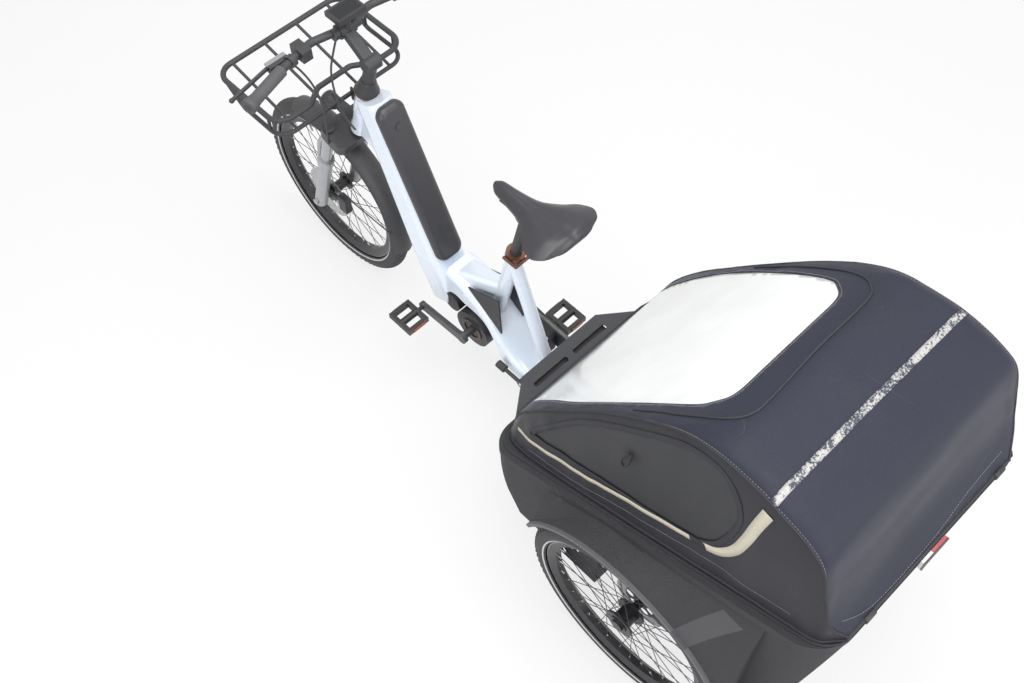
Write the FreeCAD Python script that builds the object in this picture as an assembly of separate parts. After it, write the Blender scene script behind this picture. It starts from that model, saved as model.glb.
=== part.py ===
import FreeCAD, Part
import math
import os

V = FreeCAD.Vector

# A cargo tricycle whose front frame leans on a lengthwise shaft while the cabin stays level.
# X points forward, Y to the rider's left, Z up. Lengths are millimetres, measured from the
# ground below the rear axle, and every finished piece is moved so that the origin lies
# below the middle of the whole.

FULL_TURN = 360.0
FORWARD = V(1, 0, 0)
LEFT = V(0, 1, 0)
UP = V(0, 0, 1)
SIDES = (1, -1)

# General
OVERRUN = 5.0
SEAT_GAP = 0.3
RUNNING_GAP = 0.1

# Running gear layout
WHEEL_BASE = 1596.0
TRACK_HALF = 386.0
TYRE_R = 313.5
TAIL_REACH = 470.0
LAMP_TAIL_WALL = 12.0
ORIGIN_X = (WHEEL_BASE + TYRE_R - TAIL_REACH) / 2

# Tyre, rim and spokes, alike on all three wheels
TYRE_SECTION_R = 30.0
TYRE_WALL = 5.0
TYRE_RING_R = TYRE_R - TYRE_SECTION_R
TYRE_STAND = 51.5
RIM_EDGE_R = TYRE_R - TYRE_STAND
RIM_WIDTH = 36.0
RIM_FLANGE = 2.5
RIM_WALL = 2.5
RIM_WELL = 10.0
RIM_DEPTH = 25.0
RIM_BED_WIDTH = 20.0
SPOKE_R = 1.0
SPOKE_LAY = 2.0
SPOKE_GAP = 0.6
SPOKE_PAIRS = 9
SPOKE_SWEEP = 66.0
NIPPLE_R = 2.2
NIPPLE_LENGTH = 13.0

# Front hub and its disc
FRONT_AXLE_R = 7.5
FRONT_HUB_R = 17.0
FRONT_FLANGE_R = 30.0
FRONT_FLANGE_Y = 29.0
FLANGE_WALL = 6.0
FRONT_HUB_HALF = 46.0
DISC_WALL = 2.0
FRONT_DISC_R = 90.0
FRONT_DISC_Y = 39.0
DISC_SLOT_COUNT = 6
DISC_SLOT_R = 13.0
DISC_HOLE_COUNT = 18
DISC_HOLE_R = 3.0
DISC_TRACK = 22.0

# Rear hubs, half shafts and discs
SHAFT_R = 12.5
SHAFT_INNER_Y = 30.0
REAR_HUB_R = 26.0
REAR_FLANGE_R = 42.0
REAR_FLANGE_Y = 22.0
REAR_HUB_HALF = 28.0
REAR_DISC_R = 80.0
REAR_DISC_Y = 330.0
HUB_CAP_R = 18.0
HUB_CAP_DEPTH = 6.0

# Down tube and the battery in its back
TUBE_LOW_X = 1043.0
TUBE_LOW_Z = 468.0
TUBE_RISE = 64.8
BATTERY_LENGTH = 512.0
TUBE_DEPTH = 118.0
TUBE_WIDTH = 112.0
TUBE_TOP_WIDTH = 78.0
TUBE_TOP_DEPTH = 104.0
TUBE_CORNER = 30.0
TUBE_FOOT = 150.0
TUBE_HEAD = 8.0
COVER_WIDTH = 90.0
COVER_WALL = 24.0
COVER_CORNER = 30.0
PACK_WIDTH = 56.0
PACK_DEPTH = 62.0
PACK_START = 34.0
PACK_END_GAP = 60.0
PACK_CLEAR = 6.0
LOCK_R = 11.0
LOCK_HEIGHT = 5.0
LOCK_FROM_TOP = 68.0

# Steering axis
HEAD_ANGLE = 73.0
HEAD_PAST = 27.057
HEAD_AHEAD = 93.367
TUBE_TURN = math.radians(TUBE_RISE)
HEAD_ALONG = BATTERY_LENGTH + HEAD_PAST
HEAD_TOP_X = TUBE_LOW_X + HEAD_ALONG * math.cos(TUBE_TURN) + HEAD_AHEAD * math.sin(TUBE_TURN)
HEAD_TOP_Z = TUBE_LOW_Z + HEAD_ALONG * math.sin(TUBE_TURN) - HEAD_AHEAD * math.cos(TUBE_TURN)
HEAD_LENGTH = 200.0
HEAD_R = 29.0
HEAD_BORE_R = 22.0
STEERER_R = 14.3
CUP_HEIGHT = 9.0

# Fork
LEG_Y = 70.0
STANCHION_R = 17.0
LEG_R = 21.0
LEG_TOP_ABOVE_AXLE = 258.0
LEG_FOOT_BELOW_AXLE = 22.0
CROWN_GAP = 12.0
CROWN_HEIGHT = 36.0
CROWN_DEPTH = 46.0
CROWN_CAP_R = 15.0
CROWN_CAP_HEIGHT = 8.0
WIPER_R = 25.0
WIPER_HEIGHT = 26.0
ARCH_TUBE_R = 9.0
ARCH_CLEAR = 44.0
ARCH_FORWARD = 13.0
FORK_TRAVEL = 60.0
AXLE_HEAD_R = 10.0
AXLE_HEAD = 6.0
STANCHION_PLAY = 0.1

# Front mudguard
GUARD_SECTION_R = 40.0
GUARD_WALL = 2.5
GUARD_HALF_ANGLE = 60.0
GUARD_FRONT_ANGLE = 66.0
GUARD_REAR_ANGLE = 187.0
STAY_R = 2.0
STAY_ANGLE = 168.0
STAY_FOOT_RISE = 75.0
GUARD_LUG = 14.0

# Front caliper
CALIPER_LENGTH = 62.0
CALIPER_WIDTH = 24.0
CALIPER_OUT = 3.0
CALIPER_DEPTH = 34.0
CALIPER_BACK = 84.0
CALIPER_RISE = 20.0
DISC_SLIT = 6.0
CALIPER_ARM_R = 7.0

# Head lamp on the crown
LAMP_R = 27.0
LAMP_LENGTH = 44.0
LAMP_FORWARD = 52.0
LAMP_DROP = 226.0
LAMP_STALK_R = 6.0

# Stem, bar and what sits on it
CONE_BASE_R = 33.0
CONE_TOP_R = 21.0
CONE_HEIGHT = 50.0
RISER_R = 18.0
RISER_HEIGHT = 128.0
BAR_AHEAD = 53.0
BAR_RISE = 184.0
BAR_X = HEAD_TOP_X + BAR_AHEAD
BAR_Z = HEAD_TOP_Z + BAR_RISE
BAR_R = 11.0
BAR_CENTRE_R = 15.9
BAR_CENTRE_HALF = 42.0
BAR_BOW = 21.0
BAR_BEND_X = BAR_X + BAR_BOW
BAR_BEND_Y = 98.0
BAR_KNEE_X = BAR_X
BAR_KNEE_Y = 196.0
BAR_SWEEP = 45.0
BAR_END_X = BAR_X - BAR_SWEEP
BAR_END_Y = 346.0
BAR_BEND_R = 60.0
STEM_CLAMP_R = 21.0
STEM_CLAMP_HALF = 24.0
STEM_ARM_WIDTH = 34.0
STEM_ARM_DEPTH = 26.0
STEM_PIVOT_R = 21.0
STEM_PIVOT_HALF = 22.0
GRIP_LENGTH = 142.0
GRIP_R = 16.5
GRIP_END_R = 21.0
GRIP_FLARE = 34.0
DISPLAY_LENGTH = 58.0
DISPLAY_WIDTH = 88.0
DISPLAY_HEIGHT = 16.0
DISPLAY_RISE = 58.0
DISPLAY_BACK = 14.0
DISPLAY_STALK_R = 9.0
CONTROL_Y = 132.0
CONTROL_WIDTH = 30.0
CONTROL_LENGTH = 52.0
CONTROL_HEIGHT = 34.0
MOUNT_Y = 172.0
MOUNT_COLLAR_R = 17.0
MOUNT_COLLAR_WIDTH = 16.0
MOUNT_LENGTH = 60.0
MOUNT_WIDTH = 26.0
MOUNT_HEIGHT = 24.0
MOUNT_OUT = 26.0
MOUNT_DROP = 8.0
LEVER_R = 5.5
LEVER_PIN_R = 4.0
LEVER_PIVOT_FORWARD = 30.0
LEVER_TIP_FORWARD = 54.0
LEVER_TIP_OUT = 10.0
LEVER_KNUCKLE = 26.0
LEVER_BEND_R = 26.0
LEVER_EYE_R = 9.0
LEVER_BALL_R = 7.0
LEVER_EYE_PROUD = 1.0
LEVER_EYE_HEIGHT = 2 * LEVER_R + LEVER_EYE_PROUD
CABLE_R = 3.0
CABLE_BEND_SHARE = 0.45
CABLE_ROUTES = (
    ((67, 168, 166.5), (93, 148, 130), (105, 122, 80), (95, 102, 24), (85, 94, -38), (83, 93, -100),
     (87, 94, -154), (92, 94.4, -212)),
    ((53, 34, 166.8), (63, 46, 114), (71, 56, 60), (67, 60, 2), (55, 60, -58), (39, 54, -104),
     (15, 47, -132)),
)

# Main beam sections from the foot of the down tube back to the tilt shaft
BEAM_STATIONS = (1026.0, 960.0, 900.0, 850.0, 790.0, 720.0, 650.0, 590.0)
BEAM_TOPS = (474.0, 468.0, 438.0, 404.0, 348.0, 298.0, 287.0, 285.0)
BEAM_BOTTOMS = (352.0, 366.0, 366.0, 346.0, 256.0, 222.0, 215.0, 215.0)
BEAM_WIDTHS = (108.0, 110.0, 112.0, 116.0, 122.0, 124.0, 124.0, 120.0)
BEAM_CORNER = 26.0

# Seat tube, bridge and brace
SEAT_FOOT_X = 866.0
SEAT_FOOT_Z = 390.0
SEAT_ANGLE = 77.6
SEAT_TUBE_LENGTH = 356.0
SEAT_TUBE_R = 22.0
SEAT_POST_R = 15.8
SEAT_BORE_STOP = 26.0
SEAT_BORE_DEPTH = SEAT_TUBE_LENGTH - SEAT_BORE_STOP
BRIDGE_FRONT_X = 985.0
BRIDGE_FRONT_Z = 452.0
BRIDGE_REAR_RISE = 140.0
BRIDGE_WIDTH = 74.0
BRIDGE_REAR_WIDTH = 40.0
BRIDGE_DEPTH = 52.0
BRIDGE_CORNER = 14.0
BRACE_R = 19.5
BRACE_DROP = 42.0
BRACE_FOOT_X = 634.0
COLLAR_R = 27.0
COLLAR_BELOW = 17.0
COLLAR_ABOVE = 4.0
CLAMP_PIN_R = 5.0
CLAMP_PIN_HALF = 30.0
CLAMP_LEVER_LENGTH = 46.0
CLAMP_LEVER_R = 5.0

# Seat post and saddle
POST_IN = 150.0
POST_OUT = 200.0
POST_HEAD_R = 20.0
POST_HEAD_HALF = 24.0
RAIL_R = 3.5
RAIL_Y = 21.0
RAIL_LENGTH = 150.0
SADDLE_NOSE_X = 857.0
SADDLE_LENGTH = 270.0
SADDLE_Z = 953.0
SADDLE_STATION_SHARES = (0.0, 0.05, 0.2, 0.42, 0.58, 0.72, 0.84, 0.95, 1.0)
SADDLE_HALF_WIDTHS = (11.0, 20.0, 25.0, 38.0, 66.0, 98.0, 108.0, 92.0, 62.0)
SADDLE_TOPS = (14.0, 22.0, 26.0, 28.0, 32.0, 38.0, 43.0, 44.0, 38.0)
SADDLE_EDGES = (2.0, 2.0, 2.0, 3.0, 5.0, 10.0, 16.0, 22.0, 24.0)
SADDLE_SKIRTS = (4.0, 14.0, 20.0, 24.0, 24.0, 22.0, 18.0, 12.0, 8.0)
SADDLE_TUCK_SHARE = 0.82

# Motor, covers, crank and chain
CRANK_X = 917.0
CRANK_Z = 290.0
MOTOR_R = 64.0
MOTOR_HALF = 60.0
MOTOR_TAIL_LENGTH = 96.0
MOTOR_TAIL_R = 34.0
MOTOR_TAIL_DROP = 34.0
MOTOR_TAIL_HALF = 52.0
MOTOR_RING_R = 40.0
MOTOR_RING_IN_R = 30.0
MOTOR_RING_WALL = 3.0
COVER_PLATE_WALL = 5.0
COVER_PLATE_Y = 41.0
COVER_PLATE_FRONT = (940.0, 468.0)
COVER_PLATE_LOW = (806.0, 372.0)
COVER_PLATE_TOP = (814.0, 524.0)
SPINDLE_R = 12.0
CRANK_LENGTH = 170.0
CRANK_INNER_Y = 93.0
CRANK_WALL = 14.0
CRANK_BOSS_R = 20.0
CRANK_END_R = 15.0
CRANK_BOSS_SHARE = 0.8
CRANK_END_SHARE = 0.9
CRANK_DROP = 5.0
CHAIN_Y = 78.0
CHAIN_PITCH = 12.7
CHAIN_WIDTH = 8.0
CHAIN_HEIGHT = 8.0
CHAINRING_TEETH = 44
CHAINRING_WALL = 3.0
CHAINRING_WEB = 14.0
SPROCKET_TEETH = 20
CHAIN_GAP = 1.0
PEDAL_Y = 160.0
PEDAL_LENGTH = 92.0
PEDAL_WIDTH = 76.0
PEDAL_HEIGHT = 20.0
PEDAL_RAIL = 12.0
PEDAL_CORE_R = 11.0
PEDAL_PIN_R = 6.5
PEDAL_REFLECTOR_WALL = 3.0
PEDAL_REFLECTOR_HEIGHT = 12.0
PEDAL_REFLECTOR_WIDTH = 44.0
CHAIN_GUARD_Y = 86.0
CHAIN_GUARD_WALL = 3.0
CHAIN_GUARD_MARGIN = 8.0
CHAIN_GUARD_TAIL = 250.0
CHAIN_GUARD_TAIL_HALF = 52.0
CHAIN_GUARD_ARM_R = 5.0

# Tilt joint and its lock
TILT_Z = 250.0
TILT_SHAFT_R = 35.0
TILT_SHAFT_BORE = 28.0
TILT_BUSH_WALL = 6.0
TILT_BUSH_LENGTH = 22.0
HOUSING_WALL = 8.0
HOUSING_FRONT_X = 580.0
HOUSING_LENGTH = 84.0
LOCK_PIVOT_X = 690.0
LOCK_LEVER_LENGTH = 98.0
LOCK_LEVER_Y = 78.0
LOCK_LEVER_RISE = 40.0
LOCK_LEVER_ROD_R = 6.0
LOCK_KNOB_R = 12.0
LOCK_KNOB_LENGTH = 30.0
LOCK_BOSS_R = 14.0
LOCK_PIN_R = 6.0

# Chassis under the cabin
SPINE_WIDTH = 90.0
SPINE_HEIGHT = 70.0
SPINE_END_X = 96.0
YOKE_WALL = 16.0
YOKE_HALF = 126.0
YOKE_TOP_Z = 388.0
CARRIER_WALL = 12.0
CARRIER_INNER_Y = 112.0
CARRIER_OUTER_Y = 286.0
CARRIER_HALF_HEIGHT = 42.0
CROSS_TUBE_X = -84.0
CROSS_TUBE_Z = 344.0
CROSS_TUBE_R = 20.0
DISC_STANDOFF = 24.0
CROSS_TUBE_HALF = REAR_DISC_Y - DISC_STANDOFF
CARRIER_TAIL_SHARE = 0.7
BEARING_R = 26.0
BEARING_WIDTH = 14.0
SILL_X = (440.0, 200.0)
SILL_LENGTH = 34.0
SILL_HALF = 310.0
SILL_HEIGHT = 22.0
PAD_Y = 200.0
PAD_HALF = 18.0
POST_X = 575.0
POST_Y = 156.0
POST_R = 10.0
FOOT_BAR_LENGTH = 24.0
FOOT_BAR_HEIGHT = 26.0
CHAIN_WINDOW_HALF = 16.0
CHAIN_NOTCH = 12.0

# Differential
DIFF_R = 52.0
DIFF_HALF = 46.0
DIFF_NECK_R = 24.0
SPROCKET_WALL = 4.0

# Rear calipers
REAR_CALIPER_LENGTH = 56.0
REAR_CALIPER_WIDTH = 34.0
REAR_CALIPER_HEIGHT = 48.0

# Tub
TUB_HALF = 345.0
TUB_WALL = 16.0
TUB_CORNER = 80.0
TUB_FRONT_X = 545.0
TUB_FRONT_Z = 467.0
TUB_REAR_X = LAMP_TAIL_WALL - TAIL_REACH
TUB_REAR_Z = 910.0
TUB_KNEE_X = 470.0
TUB_KNEE_Z = 300.0
TUB_FOOT_X = 424.0
TUB_FLOOR_Z = 215.0
TUB_STEP_X = 140.0
TUB_BENCH_Z = 404.0
TUB_TAIL_X = -398.0
TUNNEL_HALF = 134.0
TUNNEL_TOP_Z = 402.0
RIM_LIP = 8.0
RIM_LIP_HEIGHT = 26.0
ARCH_CLEAR_R = 19.5
ARCH_INNER_R = TYRE_R + ARCH_CLEAR_R
ARCH_WALL = 10.0
ARCH_OUTER_Y = 431.0
ARCH_FRONT_ANGLE = 24.0
ARCH_REAR_ANGLE = 190.0
SHOULDER_REAR_ANGLE = 160.0
SHOULDER_STEPS = 14
SHOULDER_EDGE = 5.0
ARC_STEPS = 12
CUSHION_REAR_X = -236.0
CUSHION_FRONT_X = 96.0
CUSHION_HALF = 296.0
CUSHION_HEIGHT = 70.0
CUSHION_CORNER = 24.0
BACKREST_WALL = 60.0
BACKREST_HALF = 282.0
BACKREST_HEIGHT = 420.0
BACKREST_LEAN = 14.0

# Step plate
PLATE_FRONT_X = 622.0
PLATE_REAR_X = 545.0
PLATE_FRONT_HALF = 143.0
PLATE_REAR_HALF = 242.0
PLATE_Z = 470.0
PLATE_WALL = 4.0
PLATE_SLOT_X = 578.0
PLATE_SLOT_INNER_Y = 11.0
PLATE_SLOT_OUTER_Y = 138.0
PLATE_SLOT_R = 8.0
SLOT_CORNER_SHARE = 0.99

# Canopy, given by its sections from the front hem back to the rear hem
CANOPY_WALL = 5.0
CANOPY_SEAT = 1.0
CANOPY_X = (536.0, 519.0, 482.0, 412.0, 316.0, 235.0, 76.0, 0.0, -54.0, -102.0, -178.0, -244.0, -308.0,
            -352.0, -386.0, -412.0, -454.0)
CANOPY_BASE_Y = (252.0, 285.0, 305.0, 316.0, 320.0, 322.0, 324.0, 325.0, 325.0, 325.0, 325.0, 325.0, 326.0,
                 326.0, 326.0, 322.0, 285.0)
CANOPY_SEAM_Y = (240.0, 262.0, 282.0, 287.0, 284.0, 281.0, 286.0, 290.0, 295.0, 298.0, 303.0, 308.0, 310.0,
                 314.0, 318.0, 318.0, 280.0)
CANOPY_SEAM_Z = (502.0, 526.0, 626.0, 738.0, 858.0, 954.0, 1118.0, 1178.0, 1204.0, 1214.0, 1216.0, 1206.0,
                 1186.0, 1156.0, 1064.0, 986.0, 914.0)
CANOPY_ROOF_Y = (222.0, 238.0, 256.0, 264.0, 264.0, 262.0, 262.0, 262.0, 262.0, 264.0, 266.0, 268.0, 270.0,
                 276.0, 284.0, 288.0, 264.0)
CANOPY_ROOF_Z = (508.0, 535.0, 634.0, 744.0, 864.0, 958.0, 1124.0, 1188.0, 1218.0, 1230.0, 1234.0, 1224.0,
                 1200.0, 1168.0, 1068.0, 990.0, 917.0)
CANOPY_CROWN = (0.0, 0.0, 0.0, 0.0, 0.0, 0.0, 0.0, 2.0, 6.0, 8.0, 8.0, 8.0, 8.0, 6.0, 2.0, 0.0, 0.0)
SCREEN_OUTLINE = ((516.0, 186.0), (508.0, 208.0), (482.0, 237.0), (400.0, 250.0), (316.0, 255.0),
                  (187.0, 242.0), (55.0, 219.0), (16.0, 194.0), (-4.0, 159.0))
SCREEN_WALL = 3.0
SCREEN_GAP = 1.5
WINDOW_PROUD = 1.6
WINDOW_OUTLINE = ((422.0, 640.0), (309.0, 828.0), (216.0, 942.0), (60.0, 1098.0), (-17.0, 1158.0),
                  (-82.0, 1176.0), (-132.0, 1156.0), (-164.0, 1104.0), (-170.0, 1040.0), (-146.0, 930.0),
                  (-104.0, 866.0), (-72.0, 846.0), (196.0, 724.0), (361.0, 652.0))
HOOP_R = 8.0
HOOP_X = (-40.0, -330.0)
HOOP_INSET = 24.0
HOOP_BEND_R = 70.0
HOOP_FOOT_SHARE = 0.12
LAMP_TAIL_HALF = 42.0
LAMP_TAIL_HEIGHT = 34.0

# Front carrier
CARRIER_BELOW = 59.0
CARRIER_AHEAD = 113.0
CARRIER_LENGTH = 278.0
CARRIER_Z = HEAD_TOP_Z - CARRIER_BELOW
CARRIER_REAR_X = HEAD_TOP_X + CARRIER_AHEAD
CARRIER_FRONT_X = CARRIER_REAR_X + CARRIER_LENGTH
CARRIER_HALF = 222.0
CARRIER_TUBE_R = 8.0
CARRIER_LOW_R = 6.5
CARRIER_BEND_R = 48.0
CARRIER_DROP = 53.0
CARRIER_NOTCH = 36.0
CARRIER_NOTCH_X = CARRIER_REAR_X + CARRIER_NOTCH
CARRIER_NOTCH_HALF = 58.0
CARRIER_NOTCH_RUN = 54.0
CARRIER_NOTCH_BEND = 24.0
CARRIER_RISE = 108.0
CARRIER_RISE_X = CARRIER_FRONT_X - CARRIER_RISE
SLAT_R = 4.5
SLAT_PITCH = 112.0
SLAT_COUNT = 4
POST_ROD_R = 4.5
BRACKET_Y = 24.0
BRACKET_WALL = 6.0
BRACKET_HEIGHT = 46.0

# The straight line of the tub's rim
RIM_SLOPE = (TUB_REAR_Z - TUB_FRONT_Z) / (TUB_FRONT_X - TUB_REAR_X)


def rim_z(x):
    return TUB_FRONT_Z + RIM_SLOPE * (TUB_FRONT_X - x)


def rod(start, end, radius):
    run = end - start
    return Part.makeCylinder(radius, run.Length, start, run)


def pipe(start, end, radius, bore):
    run = end - start
    spare = V(run).normalize() * OVERRUN
    return rod(start, end, radius).cut(rod(start - spare, end + spare, bore))


def ring(centre, axis, radius, bore, width):
    half = V(axis).normalize() * (width / 2)
    return pipe(centre - half, centre + half, radius, bore)


def slab(low, high):
    size = high - low
    return Part.makeBox(size.x, size.y, size.z, low)


def closed(points):
    return Part.Face(Part.makePolygon(list(points) + [points[0]]))


def side_prism(outline, start, end):
    face = closed([V(x, start, z) for x, z in outline])
    return face.extrude(V(0, end - start, 0))


def plan_prism(outline, low, high):
    face = closed([V(x, y, low) for x, y in outline])
    return face.extrude(V(0, 0, high - low))


def turned(outline, centre, axis):
    face = closed([V(radius, 0, along) for radius, along in outline])
    solid = face.revolve(V(0, 0, 0), UP, FULL_TURN)
    solid.Placement = FreeCAD.Placement(centre, FreeCAD.Rotation(UP, axis))
    return solid


def mirrored(shape):
    return shape.mirror(V(0, 0, 0), LEFT)


def both_sides(shape):
    return [shape, mirrored(shape)]


def fused(shapes):
    first = shapes[0]
    return first.multiFuse(shapes[1:]).removeSplitter()


def bent_path(points, bends):
    edges = []
    start = points[0]
    for before, corner, after, bend in zip(points, points[1:], points[2:], bends):
        inward = (before - corner).normalize()
        outward = (after - corner).normalize()
        half = inward.getAngle(outward) / 2
        reach = bend / math.tan(half)
        first = corner + inward * reach
        last = corner + outward * reach
        middle = corner + (inward + outward).normalize() * (bend / math.sin(half) - bend)
        edges.append(Part.LineSegment(start, first).toShape())
        edges.append(Part.Arc(first, middle, last).toShape())
        start = last
    edges.append(Part.LineSegment(start, points[-1]).toShape())
    return Part.Wire(edges)


def bent_tube(points, radius, bend):
    path = bent_path(points, [bend] * (len(points) - 2))
    start = points[0]
    profile = Part.Wire(Part.makeCircle(radius, start, points[1] - start))
    return path.makePipeShell([profile], True, False)


def loose_tube(points, radius):
    bends = []
    for before, corner, after in zip(points, points[1:], points[2:]):
        shorter = min((before - corner).Length, (after - corner).Length)
        turn = math.pi - (before - corner).getAngle(after - corner)
        bends.append(CABLE_BEND_SHARE * shorter / math.tan(turn / 2))
    path = bent_path(points, bends)
    profile = Part.Wire(Part.makeCircle(radius, points[0], points[1] - points[0]))
    return path.makePipeShell([profile], True, False)


def oval(centre, across, rise, width, height, corner):
    # A rounded rectangle with its width along one direction and its height along another.
    a = width / 2
    b = height / 2
    diagonal = corner * (1 - math.sqrt(2) / 2)
    at = lambda u, v: centre + across * u + rise * v
    edges = []
    for s, t in ((1, 1), (-1, 1), (-1, -1), (1, -1)):
        flat = at(s * (a - corner), t * b)
        steep = at(s * a, t * (b - corner))
        middle = at(s * (a - diagonal), t * (b - diagonal))
        first, last = (steep, flat) if s * t > 0 else (flat, steep)
        if edges:
            edges.append(Part.LineSegment(edges[-1].Vertexes[-1].Point, first).toShape())
        edges.append(Part.Arc(first, middle, last).toShape())
    edges.append(Part.LineSegment(edges[-1].Vertexes[-1].Point, edges[0].Vertexes[0].Point).toShape())
    return Part.Wire(edges)


def loft(wires, ruled):
    return Part.makeLoft(wires, True, ruled)


def save(name, shapes):
    solids = []
    for shape in shapes:
        solids.extend(shape.Solids)
    placed = Part.makeCompound(solids) if len(solids) > 1 else solids[0]
    placed.translate(V(-ORIGIN_X, 0, 0))
    placed.exportStep(os.path.join("parts", name + ".step"))
    print(name, len(solids), round(sum(s.Volume for s in solids)), all(s.isValid() for s in solids))


# Steering frame: heights run up the steering axis from the top of the head tube
LEAN_BACK = math.radians(90 - HEAD_ANGLE)
STEER_UP = V(-math.sin(LEAN_BACK), 0, math.cos(LEAN_BACK))
STEER_AHEAD = V(math.cos(LEAN_BACK), 0, math.sin(LEAN_BACK))
HEAD_TOP = V(HEAD_TOP_X, 0, HEAD_TOP_Z)
FRONT_AXLE = V(WHEEL_BASE, 0, TYRE_R)
FORK_OFFSET = (FRONT_AXLE - HEAD_TOP).dot(STEER_AHEAD)
AXLE_HEIGHT = (FRONT_AXLE - HEAD_TOP).dot(STEER_UP)
CROWN_TOP = -(HEAD_LENGTH + CROWN_GAP)
CROWN_BOTTOM = CROWN_TOP - CROWN_HEIGHT


def steer(ahead, side, height):
    return HEAD_TOP + STEER_AHEAD * ahead + LEFT * side + STEER_UP * height


# Wheels
def tyre(centre):
    outer = Part.makeTorus(TYRE_RING_R, TYRE_SECTION_R, centre, LEFT)
    inner = Part.makeTorus(TYRE_RING_R, TYRE_SECTION_R - TYRE_WALL, centre, LEFT)
    half = LEFT * (TYRE_SECTION_R + OVERRUN)
    return outer.cut(inner).cut(rod(centre - half, centre + half, RIM_EDGE_R))


def rim(centre):
    half = RIM_WIDTH / 2
    bed_half = RIM_BED_WIDTH / 2
    well_r = RIM_EDGE_R - RIM_WELL
    foot_r = RIM_EDGE_R - RIM_DEPTH
    outer = [(RIM_EDGE_R, half), (well_r, half), (foot_r, bed_half), (foot_r, -bed_half), (well_r, -half),
             (RIM_EDGE_R, -half), (RIM_EDGE_R, RIM_FLANGE - half), (well_r, RIM_FLANGE - half),
             (well_r, half - RIM_FLANGE), (RIM_EDGE_R, half - RIM_FLANGE)]
    box_r = well_r - RIM_WALL
    base_r = foot_r + RIM_WALL
    hollow = [(box_r, half - RIM_FLANGE - RIM_WALL), (base_r, bed_half - RIM_WALL),
              (base_r, RIM_WALL - bed_half), (box_r, RIM_FLANGE + RIM_WALL - half)]
    return turned(outer, centre, LEFT).cut(turned(hollow, centre, LEFT))


def spokes(centre, flange_r, flange_y):
    shapes = []
    hub_r = flange_r + SPOKE_R + RUNNING_GAP
    rim_r = RIM_EDGE_R - RIM_DEPTH - SPOKE_GAP
    count = 4 * SPOKE_PAIRS
    for index in range(count):
        side = SIDES[index % 2]
        lead = SIDES[(index // 2) % 2]
        at_rim = math.radians(FULL_TURN * index / count)
        at_hub = at_rim + lead * math.radians(SPOKE_SWEEP)
        hub_y = side * (flange_y + lead * SPOKE_LAY)
        start = centre + V(hub_r * math.cos(at_hub), hub_y, hub_r * math.sin(at_hub))
        end = centre + V(rim_r * math.cos(at_rim), side * SPOKE_LAY, rim_r * math.sin(at_rim))
        length = (end - start).Length
        outline = [(0, 0), (SPOKE_R, 0), (SPOKE_R, length - NIPPLE_LENGTH),
                   (NIPPLE_R, length - NIPPLE_LENGTH), (NIPPLE_R, length), (0, length)]
        shapes.append(turned(outline, start, end - start))
    return shapes


def hub(centre, bore, shell_r, flange_r, flange_y, half):
    inner = flange_y - FLANGE_WALL / 2
    outer = flange_y + FLANGE_WALL / 2
    outline = [(bore, -half), (shell_r, -half), (shell_r, -outer), (flange_r, -outer), (flange_r, -inner),
               (shell_r, -inner), (shell_r, inner), (flange_r, inner), (flange_r, outer), (shell_r, outer),
               (shell_r, half), (bore, half)]
    return turned(outline, centre, LEFT)


def brake_disc(centre, radius, bore):
    plate = ring(centre, LEFT, radius, bore, DISC_WALL)
    half = LEFT * DISC_WALL
    cutters = []
    slot_circle = (bore + radius - DISC_TRACK) / 2
    hole_circle = radius - DISC_TRACK / 2
    pattern = ((DISC_SLOT_COUNT, DISC_SLOT_R, slot_circle), (DISC_HOLE_COUNT, DISC_HOLE_R, hole_circle))
    for count, hole, circle in pattern:
        for index in range(count):
            angle = math.radians(FULL_TURN * index / count)
            place = centre + V(circle * math.cos(angle), 0, circle * math.sin(angle))
            cutters.append(rod(place - half, place + half, hole))
    return plate.cut(Part.makeCompound(cutters))


def save_front_wheel():
    save("front_tyre", [tyre(FRONT_AXLE)])
    save("front_rim", [rim(FRONT_AXLE)])
    save("front_spokes", spokes(FRONT_AXLE, FRONT_FLANGE_R, FRONT_FLANGE_Y))
    shell = hub(FRONT_AXLE, FRONT_AXLE_R + RUNNING_GAP, FRONT_HUB_R, FRONT_FLANGE_R, FRONT_FLANGE_Y,
                FRONT_HUB_HALF)
    disc = brake_disc(FRONT_AXLE + LEFT * FRONT_DISC_Y, FRONT_DISC_R, FRONT_HUB_R)
    save("front_hub", [shell, disc])


def save_rear_wheel(name, side):
    centre = V(0, side * TRACK_HALF, TYRE_R)
    save(name + "_tyre", [tyre(centre)])
    save(name + "_rim", [rim(centre)])
    save(name + "_spokes", spokes(centre, REAR_FLANGE_R, REAR_FLANGE_Y))
    shell = hub(centre, SHAFT_R, REAR_HUB_R, REAR_FLANGE_R, REAR_FLANGE_Y, REAR_HUB_HALF)
    outer_y = TRACK_HALF + REAR_HUB_HALF
    shaft = rod(V(0, side * SHAFT_INNER_Y, TYRE_R), V(0, side * outer_y, TYRE_R), SHAFT_R)
    cap = rod(V(0, side * outer_y, TYRE_R), V(0, side * (outer_y + HUB_CAP_DEPTH), TYRE_R), HUB_CAP_R)
    disc = brake_disc(V(0, side * REAR_DISC_Y, TYRE_R), REAR_DISC_R, SHAFT_R)
    save(name + "_hub", [shell, shaft, cap, disc])


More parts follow.
